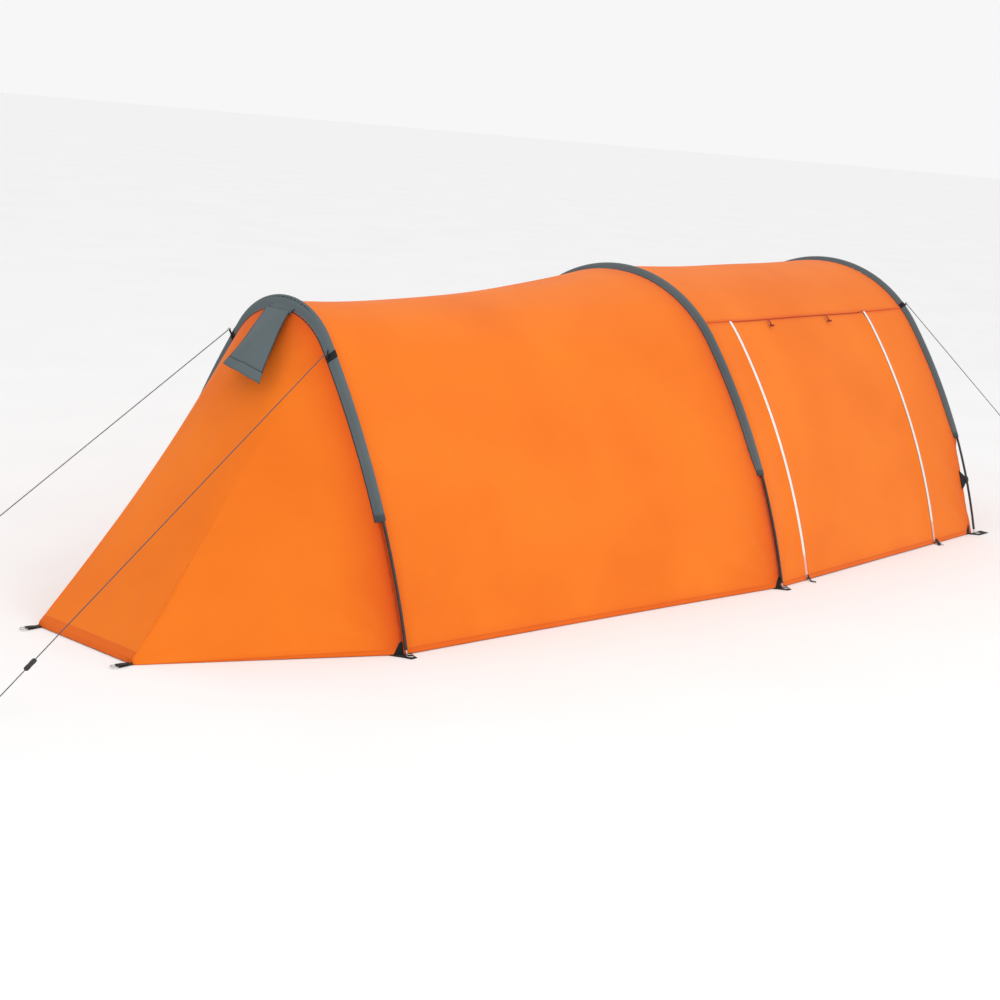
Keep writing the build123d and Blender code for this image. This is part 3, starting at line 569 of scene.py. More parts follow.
# %% Porch with its doorway
SEAM_PLACE = crown_place(FRONT, -44.2)
PORCH_END = FRONT["x"] + 0.016
porch_x = np.unique(np.round(np.concatenate([np.linspace(MIDDLE["x"], PORCH_END, 150), ZIP_X]), 7))
porch_v = v_stations(76, 66, (SEAM_PLACE, place_at(FRONT, SLEEVE_END_Z)))
porch_t = (porch_x - MIDDLE["x"]) / (PORCH_END - MIDDLE["x"])


def front_edge(z):
    """How far the free front edge stands back from the sleeve's own front: a hollow curve under the sleeve."""
    under = np.clip((0.392 - z) / 0.05, 0, 1)
    hollow = np.clip(z / 0.39, 0, 1)
    return under * (0.027 + 0.016 * np.sin(math.pi * hollow))


t_grid, v_grid = np.meshgrid(porch_t, porch_v, indexing="ij")
flat = fly_base("porch", t_grid, v_grid)
back = front_edge(flat[..., 2]) * np.clip((t_grid - 0.88) / 0.12, 0, 1)
t_cut = t_grid - back / (PORCH_END - MIDDLE["x"])
points = fly_point("porch", t_cut, v_grid)
points[..., 2] = np.maximum(points[..., 2], 0.0012)
mid_x = (porch_x[:-1] + porch_x[1:]) / 2
mid_v = (porch_v[:-1] + porch_v[1:]) / 2
doorway = ((mid_x > ZIP_X[0]) & (mid_x < ZIP_X[1]))[:, None] & (mid_v < SEAM_PLACE)[None, :]
tone = sleeve_shade_and_hem_tone("porch", points[..., 0], v_grid)
tone = np.maximum(tone, 0.5 * np.exp(-np.abs(v_grid - SEAM_PLACE) / 0.006))
sheets["porch"] = surface("fly_porch", points, ORANGE_CLOTH, thickness=0.0009, seam_and_shade=tone, drop=doorway)
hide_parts("fly_porch_roof", "fly_porch_far", "fly_door_strip_rear", "fly_door_strip_front")
print("porch cells", points.shape[0] * points.shape[1])

# %% [markdown]
# Hems are a second layer of cloth folded up and sewn with a row of small stitches. The stitches are little eight-sided
# beads repeated along a line, all worked out at once.
# %% Hems and stitches


def stitches(name, line, out, finish=THREAD, body="tent", pitch=0.006, length=0.0036, width=0.0008):
    """A row of small eight-sided beads at an even pitch along a line of points."""
    line, out = np.asarray(line), unit(np.asarray(out))
    travelled = np.concatenate([[0], np.cumsum(np.linalg.norm(np.diff(line, axis=0), axis=1))])
    at = np.arange(pitch, travelled[-1] - pitch, pitch)
    centre = np.stack([np.interp(at, travelled, line[:, k]) for k in range(3)], axis=1)
    up = unit(np.stack([np.interp(at, travelled, out[:, k]) for k in range(3)], axis=1))
    along = unit(np.gradient(centre, axis=0))
    across = np.cross(up, along)
    tips = np.stack([centre + along * length / 2, centre + across * width / 2, centre - along * length / 2,
                     centre - across * width / 2, centre + up * width / 2, centre - up * width / 2], axis=1)
    faces = np.array([(0, 1, 4), (1, 2, 4), (2, 3, 4), (3, 0, 4), (1, 0, 5), (2, 1, 5), (3, 2, 5), (0, 3, 5)])
    faces = (faces[None] + 6 * np.arange(len(at))[:, None, None]).reshape(-1, 3)
    mesh = bpy.data.meshes.new(name)
    mesh.from_pydata(tips.reshape(-1, 3).tolist(), [], faces.tolist())
    mesh.materials.append(finish)
    piece = bpy.data.objects.new(name, mesh)
    bpy.context.scene.collection.objects.link(piece)
    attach(piece, body)
    return piece


HEM_HEIGHT = 0.016
hems = {"rear": [], "main": [], "porch": []}
for bay in hems:
    for side in ("near", "far"):
        spans = [(0.0, 1.0)]
        if bay == "porch" and side == "near":
            span = PORCH_END - MIDDLE["x"]
            spans = [(0.0, (ZIP_X[0] - MIDDLE["x"]) / span), ((ZIP_X[1] - MIDDLE["x"]) / span, 0.9755)]
        elif bay == "porch":
            spans = [(0.0, 0.9755)]
        for number, (t0, t1) in enumerate(spans):
            t = np.linspace(t0, t1, max(int(120 * (t1 - t0)), 8))[:, None]
            v = np.linspace(0.002, HEM_HEIGHT / 0.83, 6)[None, :]
            v = v if side == "near" else 3 - v[:, ::-1]
            points = fly_point(bay, t, v, 0.0007)
            points[..., 2] = np.maximum(points[..., 2], 0.0006)
            name = f"hem_{bay}_{side}_{number}"
            band = surface(name, points, ORANGE_CLOTH, thickness=0.0005, seam_and_shade=0.35)
            row = 4 if side == "near" else 1
            line = points[:, row]
            out = np.zeros_like(line)
            out[:, 1] = -1 if side == "near" else 1
            thread = stitches(f"{name}_stitches", line + out * 0.0003, out)
            hems[bay] += [band, thread]
rear_hem_v = np.linspace(1.0, 2.0, 60)[None, :]
rear_hem = fly_point("rear", np.linspace(0.001, 0.022, 5)[:, None], rear_hem_v, 0.0007)
skirt = np.repeat(rear_hem[:1], 3, axis=0)
skirt[..., 0] -= np.array([0.0016, 0.0012, 0.0004])[:, None]
skirt[..., 2] = np.array([0.0014, 0.006, 0.011])[:, None]
rear_hem = np.concatenate([skirt, rear_hem])
hems["rear"].append(surface("hem_rear_end", rear_hem, ORANGE_CLOTH, thickness=0.0005, seam_and_shade=0.35))
sheet_sizes = {"rear": (0.95, 2.3), "main": (1.73, 2.65), "porch": (1.545, 2.67)}


for bay, piece in sheets.items():
    width, length = sheet_sizes[bay]

# %% [markdown]
# The sleeves carry the poles. Each is a strip of slate cloth sewn down along
# both edges, so it lies on the fly at its flanges and stands up over the pole
# between them. Its section is carried along the arch, from flange point to
# flange point of the fly itself, and it puckers a little where it curves.
# %% Sleeves
SLEEVE_HALF = 0.016
SLEEVE_FACTS = {"rear": (REAR, "rear", "main"), "middle": (MIDDLE, "main", "porch"), "front": (FRONT, "porch", "porch")}


def bay_t(bay, x):
    """Share of a bay's length at x."""
    x0, x1 = BAYS[bay]["x"]
    return (x - x0) / (x1 - x0)


def sleeve_points(which, v, q, lift=0.0, pucker=True):
    """Points over a pole: flange to flange on the fly, raised over the pole by a rounded hump."""
    a, before, after = SLEEVE_FACTS[which]
    v, q = np.asarray(v, float)[:, None], np.asarray(q, float)[None, :]
    flat_v = v[:, 0]
    rear_x, front_x = a["x"] - SLEEVE_HALF, min(a["x"] + SLEEVE_HALF, PORCH_END)
    rear_edge = fly_point(before, bay_t(before, rear_x), flat_v, 0.0015)
    front_edge_line = fly_point(after, bay_t(after, front_x), flat_v, 0.0015)
    out = unit(on_arch(a, flat_v, -0.01) - on_arch(a, flat_v, 0.0))
    top = on_arch(a, flat_v, -0.0066)
    middle = (rear_edge + front_edge_line) / 2
    height = np.sum((top - middle) * out, axis=1)[:, None]
    hump = np.clip(1 - np.abs(q / 0.74) ** 2.3, 0, 1) ** 0.55
    if pucker:
        s = v * 0.9
        hump = hump * (1 + 0.035 * np.sin(2 * math.pi * s / 0.027 + 1.7 * np.sin(s * 23)) * np.abs(q))
    share = (q + 1) / 2
    base = rear_edge[:, None] * (1 - share[..., None]) + front_edge_line[:, None] * share[..., None]
    return base + out[:, None] * (height * hump + lift)[..., None], out


sleeve_q = np.concatenate([[-1, -0.93, -0.85, -0.78], np.linspace(-0.74, 0.74, 19), [0.78, 0.85, 0.93, 1]])
for which, (a, _, _) in SLEEVE_FACTS.items():
    low = place_at(a, SLEEVE_END_Z)
    v = np.linspace(low, 3 - low, 240)
    points, out = sleeve_points(which, v, sleeve_q)
    tone = np.clip((np.abs(sleeve_q) - 0.8) / 0.1, 0, 1)[None, :] * 0.95
    ends = np.minimum(np.arange(240), np.arange(240)[::-1])[:, None] < 3
    sleeve = surface(f"sleeve_cloth_{which}", points, SLATE_CLOTH, thickness=0.0008,
                     seam_and_shade=np.maximum(tone, 0.5 * ends), flip=True)
    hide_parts(f"sleeve_{which}")
    for row, column in (("rear", 2), ("front", -3)):
        stitches(f"sleeve_{which}_{row}_stitches", points[:, column] + out * 0.0004, out, finish=SLATE_CLOTH)
    print("sleeve", which, points.shape)

# %% [markdown]
# The poles keep their CAD shape, which is already a bent tube. They only need
# the dark gloss of fibreglass.
# %% Poles


def finish_node(node, finish):
    """Give a CAD node's every material slot one finish."""
    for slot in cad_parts[node].material_slots:
        slot.material = finish


for which in SLEEVE_FACTS:
    finish_node(f"pole_{which}", FIBREGLASS)
print("poles finished")

# %% [markdown]
# At each guy point a short black strap is sewn over the sleeve, with a small
# ring that the line is tied to.
# %% Guy clips


def ring(name, centre, radius, wire, normal, finish, body="tent", around=48, squash=1.0):
    """Round wire bent to a ring: a circle carried round a circle, one side flattened by squash."""
    normal = unit(np.asarray(normal, float))
    first = unit(np.cross(normal, [0.31, 0.87, 0.12]))
    second = np.cross(normal, first)
    turn = np.linspace(0, 2 * math.pi, around, endpoint=False)
    small = np.linspace(0, 2 * math.pi, 14, endpoint=False)
    radial = np.cos(turn)[:, None] * first + np.sin(turn)[:, None] * second * squash
    points = np.asarray(centre) + radial[:, None] * radius
    points = points + wire * (np.cos(small)[None, :, None] * radial[:, None] + np.sin(small)[None, :, None] * normal)
    return surface(name, points, finish, body, wrap=(True, True), flip=False)


for key, (ear, end) in guys.items():
    which = key.split("_")[0]
    a = SLEEVE_FACTS[which][0]
    grid_v = np.linspace(1.0, 1.5, 400)
    heights = on_arch(a, grid_v)[:, 2]
    clip_z = 0.845 if which == "rear" else 0.895
    centre_v = float(np.interp(clip_z, heights, grid_v)) if clip_z > heights[0] else place_at(a, clip_z)
    half = 0.0098 / (2 * a["angle"] * a["crown"]) if centre_v > 1 else 0.0098 / 0.83
    v = np.linspace(centre_v - half, centre_v + half, 9)
    v = v if ear[1] < 0 else 3 - v[::-1]
    strap_points, out = sleeve_points(which, v, np.linspace(-1.02, 1.02, 33), lift=0.0014, pucker=False)
    strap = surface(f"guy_strap_{key}", strap_points, WEBBING, thickness=0.0011, flip=True)
    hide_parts(f"guy_clip_{key}")
    along = unit(end - ear)
    lengthwise = -1.0 if which == "rear" else 1.0
    centre = ear - along * 0.0035
    ring(f"guy_ring_{key}", centre, 0.0042, 0.0009, np.cross(along, out[4]), BLACK_PLASTIC)
    strap_edge = strap_points[4, -2 if lengthwise > 0 else 1]
    tongue = np.stack([strap_edge, (centre + strap_edge) / 2, centre])
    width = unit(strap_points[5, 16] - strap_points[3, 16]) * 0.004
    steps = np.stack([tongue - width, tongue, tongue + width], axis=1)
    surface(f"guy_tongue_{key}", steps, WEBBING, thickness=0.001)
print("guy straps", len(guys))

# %% [markdown]
# Each pole stands on a steel pin that is welded to a ring, and the ring is
# held to the hem by a triangle of black webbing. The same webbing makes the
# two peg loops at the rear corners.
# %% Feet
for which, (a, _, _) in SLEEVE_FACTS.items():
    for side, sign in (("near", -1), ("far", 1)):
        tag = f"{which}_{side}"
        low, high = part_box(f"foot_ring_{tag}")
        outer = low.y if sign < 0 else high.y
        ring_y = outer - sign * 0.0126
        wheel = ring(f"peg_ring_{tag}", (a["x"], ring_y, 0.0041), 0.011, 0.0016, (0, 0, 1), STEEL)
        foot_v = np.array([place_at(a, 0.0048), place_at(a, 0.036)])
        foot_v = foot_v if sign < 0 else 3 - foot_v
        ends = on_arch(a, foot_v)
        pin = rod(f"pole_pin_{tag}", ends[0], ends[1], 0.0025, STEEL, side=(1, 0, 0))
        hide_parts(f"foot_ring_{tag}")
        tab_low, tab_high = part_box(f"foot_tab_{tag}")
        hem_y = tab_high.y if sign < 0 else tab_low.y
        tip_y = tab_low.y if sign < 0 else tab_high.y
        forward = 0.070 if which == "front" else 0.013
        u, w = np.linspace(0, 1, 15)[:, None], np.linspace(0, 1, 15)[None, :]
        wide = (1 - u) ** 1.3
        left = a["x"] - 0.013 - 0.029 * wide
        right = a["x"] + forward + (0.029 if which != "front" else 0.0) * wide
        x = left + (right - left) * w
        y = hem_y + (tip_y - hem_y) * u + 0 * w
        z = 0.0016 + 0.0005 * np.sin(9 * u + 3 * w) * u + 0 * x
        tab = surface(f"foot_webbing_{tag}", np.stack([x, y, z], axis=-1), WEBBING, thickness=0.0013, flip=sign > 0)
        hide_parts(f"foot_tab_{tag}")
        climb = np.linspace(0.0, 0.034, 8)[:, None] + 0 * w[:, :9]
        patch_q = np.linspace(-1, 1, 9)[None, :] * (1 - climb / 0.045) * 0.030
        patch_v = np.clip(0.001 + climb / 0.83, 0, 1)
        patch_v = patch_v if sign < 0 else 3 - patch_v
        bay = SLEEVE_FACTS[which][1]
        limit = -0.0008 if which != "front" else -0.030
        patch_x = a["x"] + np.minimum(patch_q - (0.0 if which != "front" else 0.03), limit)
        patch = fly_point(bay, bay_t(bay, patch_x), patch_v, 0.0016)
        surface(f"foot_patch_{tag}", patch, WEBBING, thickness=0.0008, flip=sign < 0)
for side, sign in (("near", -1), ("far", 1)):
    low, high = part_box(f"rear_ring_{side}")
    middle = (low + high) / 2
    wheel = ring(f"hem_ring_{side}", tuple(middle), 0.011, 0.0016, (0, 0, 1), STEEL)
    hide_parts(f"rear_ring_{side}")
    turn = np.radians(np.linspace(270, 90, 13))
    bend = np.stack([middle.x + 0.011 + 0.0026 * np.cos(turn), middle.z + 0.0026 * np.sin(turn)], axis=1)
    route = np.concatenate([[[-1.972, 0.0012], [-2.000, 0.0013]], bend,
                            [[-2.004, 0.0052], [-1.990, 0.0030], [-1.974, 0.0028]]])
    across = np.linspace(-0.0105, 0.0105, 7)
    points = np.stack([np.broadcast_to(route[:, :1], (len(route), 7)), middle.y + across + 0 * route[:, :1],
                       np.broadcast_to(route[:, 1:], (len(route), 7))], axis=-1)
    loop = surface(f"hem_loop_{side}", points, WEBBING, thickness=0.0009)
    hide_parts(f"rear_loop_{side}")
print("feet done")

# %% [markdown]
# Below the front sleeve the pole runs bare, and a webbing triangle with a
# plastic hook holds the cloth's free edge to it.
# %% Hook tabs


def collar(name, centre, axis, inner, outer, height, finish, body="tent"):
    """Rounded tube: a closed oval profile turned round an axis."""
    axis = unit(np.asarray(axis, float))
    first = unit(np.cross(axis, [0.9, 0.1, 0.3]))
    second = np.cross(axis, first)
    turn = np.linspace(0, 2 * math.pi, 32, endpoint=False)
    ring_turn = np.linspace(0, 2 * math.pi, 20, endpoint=False)
    c, s = np.cos(ring_turn), np.sin(ring_turn)
    square = (np.abs(c) ** 4 + np.abs(s) ** 4) ** -0.25
    r = (inner + outer) / 2 + (outer - inner) / 2 * square * c
    h = height / 2 * square * s
    radial = np.cos(turn)[:, None] * first + np.sin(turn)[:, None] * second
    points = np.asarray(centre) + r[None, :, None] * radial[:, None] + h[None, :, None] * axis
    return surface(name, points, finish, body, wrap=(True, True), flip=False)


HOOK_Z = 0.219
for side, sign in (("near", -1), ("far", 1)):
    v = place_at(FRONT, HOOK_Z)
    v_pair = np.array([v - 0.01, v, v + 0.01])
    v_pair = v_pair if sign < 0 else 3 - v_pair
    line = on_arch(FRONT, v_pair)
    axis = unit(line[2] - line[0])
    hook = collar(f"pole_hook_{side}", line[1], axis, 0.0053, 0.0078, 0.019, BLACK_PLASTIC)
    u, w = np.linspace(0, 1, 12)[:, None], np.linspace(-1, 1, 15)[None, :]
    reach = 0.036
    spread = 0.040 * (1 - u) ** 0.9 + 0.0092 * u
    edge = line[1] + np.array([-reach - 0.0045, 0.0, 0.0])
    out = unit(on_arch(FRONT, v_pair[1], -0.01) - line[1])
    points = edge + (u * reach)[..., None] * np.array([1.0, 0, 0]) + (spread * w)[..., None] * axis
    points = points - ((1 - u) * 0.0052 + 0 * w)[..., None] * out
    web = surface(f"hook_webbing_{side}", points, WEBBING, thickness=0.0014, flip=sign > 0)
    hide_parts(f"hook_tab_{side}")
print("hook tabs done")

# %% [markdown]
# The door hangs from a seam high on the porch and closes with two white
# zips. It belongs to its own body, so it is its own sheet, cut from the same
# formula as the porch so that it lies flush.
# %% Door panel
DOOR_GAP = 0.0087
door_t = np.linspace(bay_t("porch", ZIP_X[0] + DOOR_GAP), bay_t("porch", ZIP_X[1] - DOOR_GAP), 96)
seam_low = SEAM_PLACE - 0.0014 / (2 * FRONT["angle"] * FRONT["crown"])
door_v = np.concatenate([np.linspace(place_at(FRONT, 0.0022), 0.98, 84), np.linspace(1.0, seam_low, 14)])
t_grid, v_grid = np.meshgrid(door_t, door_v, indexing="ij")
door_points = fly_point("porch", t_grid, v_grid)
low_tone = np.exp(-(v_grid - door_v[0]) / 0.012)
door_tone = 0.55 * np.maximum(low_tone, np.exp(-(door_v[-1] - v_grid) / 0.007))
door = surface("door_cloth", door_points, ORANGE_CLOTH, body="door", thickness=0.0009, seam_and_shade=door_tone)
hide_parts("door_panel")
hem_grid = fly_point("porch", door_t[:, None], np.linspace(door_v[0], door_v[0] + 0.019, 5)[None, :], 0.0007)
door_hem = surface("door_hem", hem_grid, ORANGE_CLOTH, body="door", thickness=0.0005, seam_and_shade=0.35)
out = np.zeros((len(door_t), 3))
out[:, 1] = -1
door_thread = stitches("door_hem_stitches", hem_grid[:, 3] + out * 0.0003, out, body="door")
ridge = fly_point("porch", np.linspace(0.012, 0.985, 120)[:, None],
                  (SEAM_PLACE + np.linspace(0.0003, 0.0115, 6))[None, :], 0.0009)
surface("door_seam_fold", ridge, ORANGE_CLOTH, thickness=0.0006, seam_and_shade=0.3 + 0.5 * (np.arange(6) < 2)[None, :])
print("door cells", door_points.shape)

# %% [markdown]
# A zip is a woven tape with two rows of small coils down its middle. The
# slider is a smooth rounded body with a flat pull, so both are made from one
# rounded-box formula.
# %% Zips and sliders


def pebble(name, centre, axes, halves, power, finish, body, rows=18, columns=28):
    """Rounded box: a sphere's points pushed out towards a box by a power, along three axes."""
    up = np.linspace(-math.pi / 2 + 0.02, math.pi / 2 - 0.02, rows)[:, None]
    turn = np.linspace(0, 2 * math.pi, columns, endpoint=False)[None, :]

    def bent(value):
        return np.sign(value) * np.abs(value) ** power

    parts = (bent(np.cos(up)) * bent(np.cos(turn)), bent(np.cos(up)) * bent(np.sin(turn)), bent(np.sin(up)) + 0 * turn)
    points = np.asarray(centre, float) + sum((h * p)[..., None] * np.asarray(d) for h, p, d in zip(halves, parts, axes))
    piece = surface(name, points, finish, body, wrap=(False, True), flip=True)
    return piece


SLIDER_LIFT = 0.005 - 0.0005 - 0.002
for name, zip_x in zip(("rear", "front"), ZIP_X):
    v = np.linspace(place_at(FRONT, 0.0102), SEAM_PLACE - 0.001, 190)[:, None]
    q = np.linspace(-1, 1, 21)[None, :]
    lift = 0.0008 + 0.0009 * np.exp(-((q / 0.36) ** 4))
    flat = fly_base("porch", bay_t("porch", zip_x + 0.0073 * q) + 0 * v, v + 0 * q)
    out = unit(on_arch(FRONT, v[:, 0], -0.01) - on_arch(FRONT, v[:, 0]))
    points = flat + lift[..., None] * out[:, None]
    tone = np.clip((0.11 - v) / 0.02, 0, 1) * 0.9 + 0 * q
    tape = surface(f"zip_tape_{name}", points, ZIP_TAPE, thickness=0.0006, seam_and_shade=tone, flip=True)
    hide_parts(f"door_zip_{name}")
    for row, shift in (("a", 8), ("b", 12)):
        stitches(f"zip_coil_{name}_{row}", points[:, shift] + out * 0.0002, out,
                 finish=ZIP_TAPE, pitch=0.0026, length=0.0018, width=0.0016)
    place = place_at(FRONT, 0.070)
    centre = on_arch(FRONT, np.array([place]), SLIDER_LIFT)[0]
    up = unit(on_arch(FRONT, np.array([place + 0.01]))[0] - on_arch(FRONT, np.array([place - 0.01]))[0])
    out_here = unit(on_arch(FRONT, np.array([place]), -0.01)[0] - on_arch(FRONT, np.array([place]))[0])
    side_way = np.array([1.0, 0.0, 0.0])
    body_name = f"slider_{name}"
    slider = pebble(f"zip_slider_body_{name}", centre, (side_way, up, out_here),
                    (0.005, 0.0082, 0.00195), 0.55, SLIDER_METAL, body_name)
    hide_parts(f"zip_slider_{name}")
    tag_centre = centre - up * 0.0135 + out_here * 0.0005
    pebble(f"zip_pull_{name}", tag_centre, (side_way, up, out_here),
           (0.0026, 0.0078, 0.0008), 0.5, SLIDER_METAL, body_name)
print("zips done")

# %% [markdown]
# Two soft toggles hang just under the door's seam, to tie it up when it is
# rolled. Where each zip ends at the ground there is an elastic loop or a
# small peg tab.
# %% Toggles and hem loops
for name, x in (("rear", ZIP_X[0] + 0.255), ("front", ZIP_X[1] - 0.315)):
    low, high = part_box(f"door_toggle_{name}")
    angle = math.radians(-46.8)
    out = np.array([0.0, math.sin(angle), math.cos(angle)])
    down = np.array([0.0, -math.cos(angle), math.sin(angle)])
    centre = np.array([x, *[(low[k] + high[k]) / 2 for k in (1, 2)]])
    bar = rod(f"toggle_bar_{name}", centre + down * 0.010 - [0.0135, 0, 0] + out * 0.0002,
              centre + down * 0.0115 + [0.0135, 0, 0] + out * 0.0002,
              0.0042, TOGGLE_CLOTH, body="door", side=(0, 0, 1))
    t = np.linspace(0, 1, 20)
    arc = centre + (-0.017 + 0.026 * t)[:, None] * down + (-0.0030 + 0.0034 * np.sin(math.pi * t))[:, None] * out
    strap_grid = arc[:, None] + np.linspace(-0.0045, 0.0045, 5)[None, :, None] * np.array([1.0, 0, 0])
    surface(f"toggle_strap_{name}", strap_grid, TOGGLE_CLOTH, body="door", thickness=0.0008, flip=False)
    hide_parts(f"door_toggle_{name}")
hem_y = float(on_arch(FRONT, np.array([0.0]), FRONT["cloth"])[0, 1])
for name, zip_x, finish in (("rear", ZIP_X[0] - 0.004, WEBBING), ("front", ZIP_X[1] + 0.006, WEBBING)):
    u, w = np.linspace(0, 1, 9)[:, None], np.linspace(-1, 1, 9)[None, :]
    spread = (0.006 + 0.012 * u) if name == "front" else 0.0045 + 0 * u
    points = np.stack([zip_x + spread * w, hem_y - 0.002 - 0.024 * u + 0 * w,
                       0.020 * (1 - u) ** 2 + 0.0014 + 0 * w], axis=-1)
    surface(f"hem_peg_tab_{name}", points, finish, thickness=0.0012)
    ring(f"hem_peg_eye_{name}", (zip_x, hem_y - 0.031, 0.0022), 0.0068, 0.0012, (0, 0, 1),
         WEBBING if name == "rear" else STEEL)
print("toggles done")

# %% [markdown]
# The rear vent is a net panel under a hood of sleeve cloth. A short rod props
# the hood's lower far corner, and its hem hangs a little over to the door
# side.
# %% Rear vent
slope_top = np.array([-1.268, 0.0, 0.967])
slope_down = unit(np.array([REAR_HEM_X, 0.0, REAR_HEM_RISE]) - slope_top)
slope_out = np.array([slope_down[2], 0.0, -slope_down[0]])
TO_DOOR = np.array([0.0, -1.0, 0.0])
HOOD_LENGTH, HOOD_TOP, HOOD_BOTTOM, HOOD_SKEW = 0.245, 0.052, 0.080, 0.053
HOOD_TILT = math.radians(12.0)
hinge = slope_top + slope_down * 0.036 + slope_out * 0.008
hood_down = slope_down * math.cos(HOOD_TILT) + slope_out * math.sin(HOOD_TILT)
hood_out = slope_out * math.cos(HOOD_TILT) - slope_down * math.sin(HOOD_TILT)


def hood_point(a, q, lift):
    """Hood cloth: a flaring strip that leans to the door side, crowned across and curled at its hem."""
    share = a / HOOD_LENGTH
    half = HOOD_TOP + (HOOD_BOTTOM - HOOD_TOP) * share ** 1.6
    across = HOOD_SKEW * share + half * q
    hang = (q + 1) / 2
    bulge = 0.009 * (1 - q * q) * np.sin(math.pi * np.clip(share * 0.9, 0, 1))
    crown = bulge + 0.002 * np.sin(7 * q + 9 * share) * share
    crown = crown - 0.026 * hang * share * share
    a = a * (1 + 0.09 * hang * share)
    return hinge + a[..., None] * hood_down + across[..., None] * TO_DOOR + (crown + lift)[..., None] * hood_out


a_grid, q_grid = np.meshgrid(np.linspace(0.0, HOOD_LENGTH, 50), np.linspace(-1, 1, 41), indexing="ij")
hood_points = hood_point(a_grid, q_grid, np.full(a_grid.shape, 0.0015))
hood_tone = np.maximum(np.clip((np.abs(q_grid) - 0.93) / 0.05, 0, 1),
                       np.exp(-(((a_grid - HOOD_LENGTH + 0.030) / 0.0022) ** 2)) * 0.7)
hood = surface("hood_cloth", hood_points, SLATE_CLOTH, body="hood", thickness=0.0009,
               seam_and_shade=np.maximum(hood_tone, (a_grid > HOOD_LENGTH - 0.003) * 1.0))
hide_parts("vent_hood")
hem_a, hem_q = np.meshgrid(np.linspace(HOOD_LENGTH - 0.029, HOOD_LENGTH, 6), np.linspace(-1, 1, 41), indexing="ij")
hood_hem = surface("hood_hem", hood_point(hem_a, hem_q, np.full(hem_a.shape, 0.0023)),
                   SLATE_CLOTH, body="hood", thickness=0.0006, seam_and_shade=0.0)



def on_slope(a, y, lift):
    """Points on the rear fly at a metres down from its top and y metres across, lifted outwards."""
    t = 1 - a / np.linalg.norm(slope_top - [REAR_HEM_X, 0.0, REAR_HEM_RISE])
    tries = np.linspace(1.02, 1.98, 193)[None, :]
    known = fly_base("rear", t[:, :1] + 0 * tries, tries + 0 * t[:, :1])[..., 1]
    v = np.stack([np.interp(row, across, tries[0]) for row, across in zip(y, known)])
    return fly_point("rear", t, v, lift, relief=False)


collar_a, collar_q = np.meshgrid(np.linspace(0.012, 0.038, 10), np.linspace(-1, 1, 25), indexing="ij")
collar_half = 0.0495 + 0.9 * np.clip(0.026 - collar_a, 0, 1) ** 1.2
surface("hood_collar", on_slope(collar_a, collar_half * collar_q, 0.0026), SLATE_CLOTH, thickness=0.0008, flip=True,
        seam_and_shade=np.clip((np.abs(collar_q) - 0.93) / 0.05, 0, 1))

strut_top = hinge + hood_down * (HOOD_LENGTH - 0.024) + TO_DOOR * (0.030 - HOOD_BOTTOM + 0.024) - hood_out * 0.0044
lean = math.radians(14.0)
strut_way = -math.sin(lean) * hood_down - math.cos(lean) * hood_out
strut = rod("hood_strut", strut_top, strut_top + strut_way * 0.044, 0.0029, BLACK_PLASTIC, body="strut", side=(0, 1, 0))
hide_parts("vent_strut")

net_a, net_q = np.meshgrid(np.linspace(0.030, 0.1617, 24), np.linspace(-1, 1, 24), indexing="ij")
net_half = 0.0416 + (0.060 - 0.0416) * (net_a - 0.030) / 0.1317
net = surface("vent_net", on_slope(net_a + 0.036, net_half * net_q, 0.0024), NET, thickness=0.0008, flip=True)
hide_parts("vent_mesh")
print("vent done", strut_top.round(3))

# %% [markdown]
# Inside there is a groundsheet and the sleeping cabin's front wall with its
# flap, and the tent's front end is closed by an upright wall. Each upright
# wall is a set of plumb lines, from the ground up to an arch.
# %% Upright walls and floor


def wall_points(outline, x, half, sill, gap=None, columns=81, billow=0.004):
    """Plumb lines from the sill to the outline's height; gap gives the half width, bottom and top of a doorway."""
    order = np.argsort(outline[:, 1])
    y = np.linspace(-half, half, columns)
    if gap:
        y = np.unique(np.round(np.concatenate([y, [-gap[0], gap[0]]]), 6))
    top = np.interp(y, outline[order, 1], outline[order, 2])
    top = np.maximum(top, sill + 0.002)
    if gap:
        in_gap = np.abs(y) <= gap[0] + 1e-6
        scale = np.minimum(top / np.interp(gap[0], y, top), 1.0) * ~in_gap + in_gap
        marks = [np.full(y.shape, sill), sill + (gap[1] - sill) * scale, sill + (gap[2] - sill) * scale, top]
        marks[2] = np.where(np.abs(y) > gap[0] + 1e-6, np.minimum(marks[2], top), marks[2])
        shares = [np.linspace(0, 1, 9)[:-1], np.linspace(0, 1, 31)[:-1], np.linspace(0, 1, 12)]
        z = np.concatenate([marks[k][:, None] * (1 - s) + marks[k + 1][:, None] * s
                            for k, s in enumerate(shares)], axis=1)
    else:
        s = np.linspace(0, 1, 61)[None, :]
        z = sill * (1 - s) + top[:, None] * s
    fade = np.clip((top[:, None] - z) / 0.1, 0, 1)
    swell = billow * np.sin(3.1 * y[:, None] + 1.1) * np.sin(math.pi * (z - sill)) * fade
    grid = np.stack([x + swell, y[:, None] + 0 * z, z], axis=-1)
    return grid, y


front_v = np.linspace(0, 3, 400)
outline = on_arch(FRONT, front_v, 0.0102)
grid, _ = wall_points(outline, 1.9335, abs(outline[0, 1]) - 0.002, 0.002, billow=0.0)
grid[..., 0] += 0.0012 * np.sin(11 * grid[..., 1]) * np.sin(7 * grid[..., 2])
edge_tone = 0.5 * np.exp(-grid[..., 2] / 0.012)
front_wall = surface("fly_front_wall", grid, ORANGE_CLOTH, thickness=0.0009, seam_and_shade=edge_tone)
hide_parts("fly_front_panel")

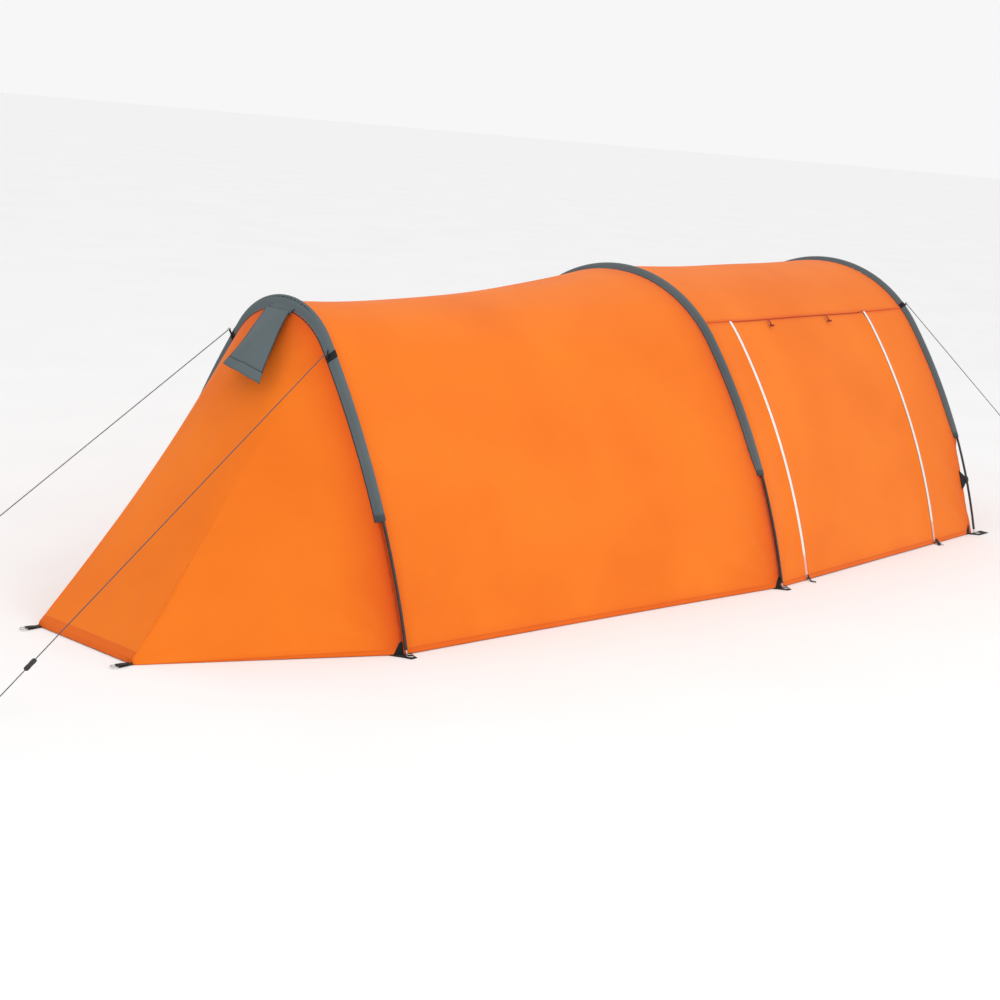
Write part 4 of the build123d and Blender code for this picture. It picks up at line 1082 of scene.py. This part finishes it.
INNER_X = 0.381
inner = arch(INNER_X, 0.8083, 0.989, 0.526, 52.5, 0.0)
outline = on_arch(inner, front_v)
grid, y = wall_points(outline, INNER_X + 0.0015, 0.806, 0.004, gap=(0.300, 0.110, 0.760), billow=0.0)
mid_y = (y[:-1] + y[1:]) / 2
height_cells = np.arange(grid.shape[1] - 1)
FLAP_OPENING_HALF, FLAP_FIRST_CELL, FLAP_LAST_CELL = 0.300, 8, 38
in_height = (height_cells >= FLAP_FIRST_CELL) & (height_cells < FLAP_LAST_CELL)
doorway = (np.abs(mid_y) < FLAP_OPENING_HALF)[:, None] & in_height[None, :]
near_gap = np.maximum(np.abs(grid[..., 1]) - 0.30, np.maximum(grid[..., 2] - 0.76, 0.11 - grid[..., 2]))
cabin_wall = surface("cabin_front_wall", grid, INNER_CLOTH, thickness=0.0009,
                     seam_and_shade=0.6 * np.exp(-np.abs(near_gap) / 0.012), drop=doorway)
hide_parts("inner_front_wall")
y_grid, z_grid = np.meshgrid(np.linspace(-0.2965, 0.2965, 50), np.linspace(0.1135, 0.7565, 54), indexing="ij")
ripple = 0.0006 * np.sin(21 * y_grid) * np.sin(9 * z_grid)
flap_edge = np.minimum(0.2965 - np.abs(y_grid), np.minimum(z_grid - 0.1135, 0.7565 - z_grid))
flap = surface("cabin_flap", np.stack([INNER_X + 0.0018 + ripple, y_grid, z_grid], axis=-1),
               INNER_CLOTH, body="inner_flap",
               thickness=0.0009, seam_and_shade=0.6 * np.exp(-flap_edge / 0.012))
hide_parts("inner_door")

low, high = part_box("inner_groundsheet")
floor_x = np.linspace(low.x + 0.001, high.x - 0.001, 90)
half_at = np.interp(floor_x, [low.x, REAR["x"], high.x], [0.3193, 0.547, high.y]) - 0.001
w = np.linspace(-1, 1, 60)[None, :]
y_grid = half_at[:, None] * w
x_grid = floor_x[:, None] + 0 * w
z_grid = 0.0016 + 0.0005 * np.sin(13 * x_grid + 4 * y_grid) * np.sin(11 * y_grid)
rim = np.minimum(half_at[:, None] * (1 - np.abs(w)), np.minimum(x_grid - low.x, high.x - x_grid))
floor_sheet = surface("groundsheet_cloth", np.stack([x_grid, y_grid, z_grid], axis=-1), FLOOR_CLOTH,
                      thickness=0.0008, seam_and_shade=0.8 * np.exp(-rim / 0.012))
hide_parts("inner_groundsheet")
print("inside done")

# %% [markdown]
# The stage is a pale floor under soft lamps: one broad lamp overhead, one low
# from the door side, and an even pale sky.
# %% Floor and light
floor_finish, nodes, links, shader = new_finish("pale_floor")
floor_coordinates = nodes.new("ShaderNodeTexCoord")
floor_tone = noise_colour(nodes, links, floor_coordinates.outputs["Object"], 1.5,
                          (0.94, 0.94, 0.94), (0.96, 0.96, 0.96))
links.new(floor_tone, shader.inputs["Base Color"])
shader.inputs["Roughness"].default_value = 0.9
floor_mesh = bpy.data.meshes.new("floor")
FLOOR_REACH, FLOOR_DROP = 60, -0.0006
floor_corners = [(-1, -1), (1, -1), (1, 1), (-1, 1)]
floor_mesh.from_pydata([(a * FLOOR_REACH, b * FLOOR_REACH, FLOOR_DROP) for a, b in floor_corners],
                       [], [(0, 1, 2, 3)])
floor_mesh.materials.append(floor_finish)
floor = bpy.data.objects.new("floor", floor_mesh)
bpy.context.scene.collection.objects.link(floor)

world = bpy.data.worlds.new("pale sky")
world.use_nodes = True
world.node_tree.nodes["Background"].inputs["Color"].default_value = (1.0, 1.0, 1.0, 1.0)
world.node_tree.nodes["Background"].inputs["Strength"].default_value = 0.93
bpy.context.scene.world = world
bpy.context.scene.view_settings.view_transform = "Standard"


def lamp(name, place, target, size, power):
    """A square soft lamp that faces a point."""
    data = bpy.data.lights.new(name, "AREA")
    data.size, data.energy = size, power
    made = bpy.data.objects.new(name, data)
    made.location = place
    made.rotation_euler = (Vector(target) - Vector(place)).to_track_quat("-Z", "Y").to_euler()
    bpy.context.scene.collection.objects.link(made)
    return made


lamp("overhead lamp", (-0.5, -1.5, 5.2), (0, 0, 0.4), 5.0, 30)
lamp("door lamp", (-2.0, -6.0, 3.0), (0, 0, 0.5), 4.0, 70)
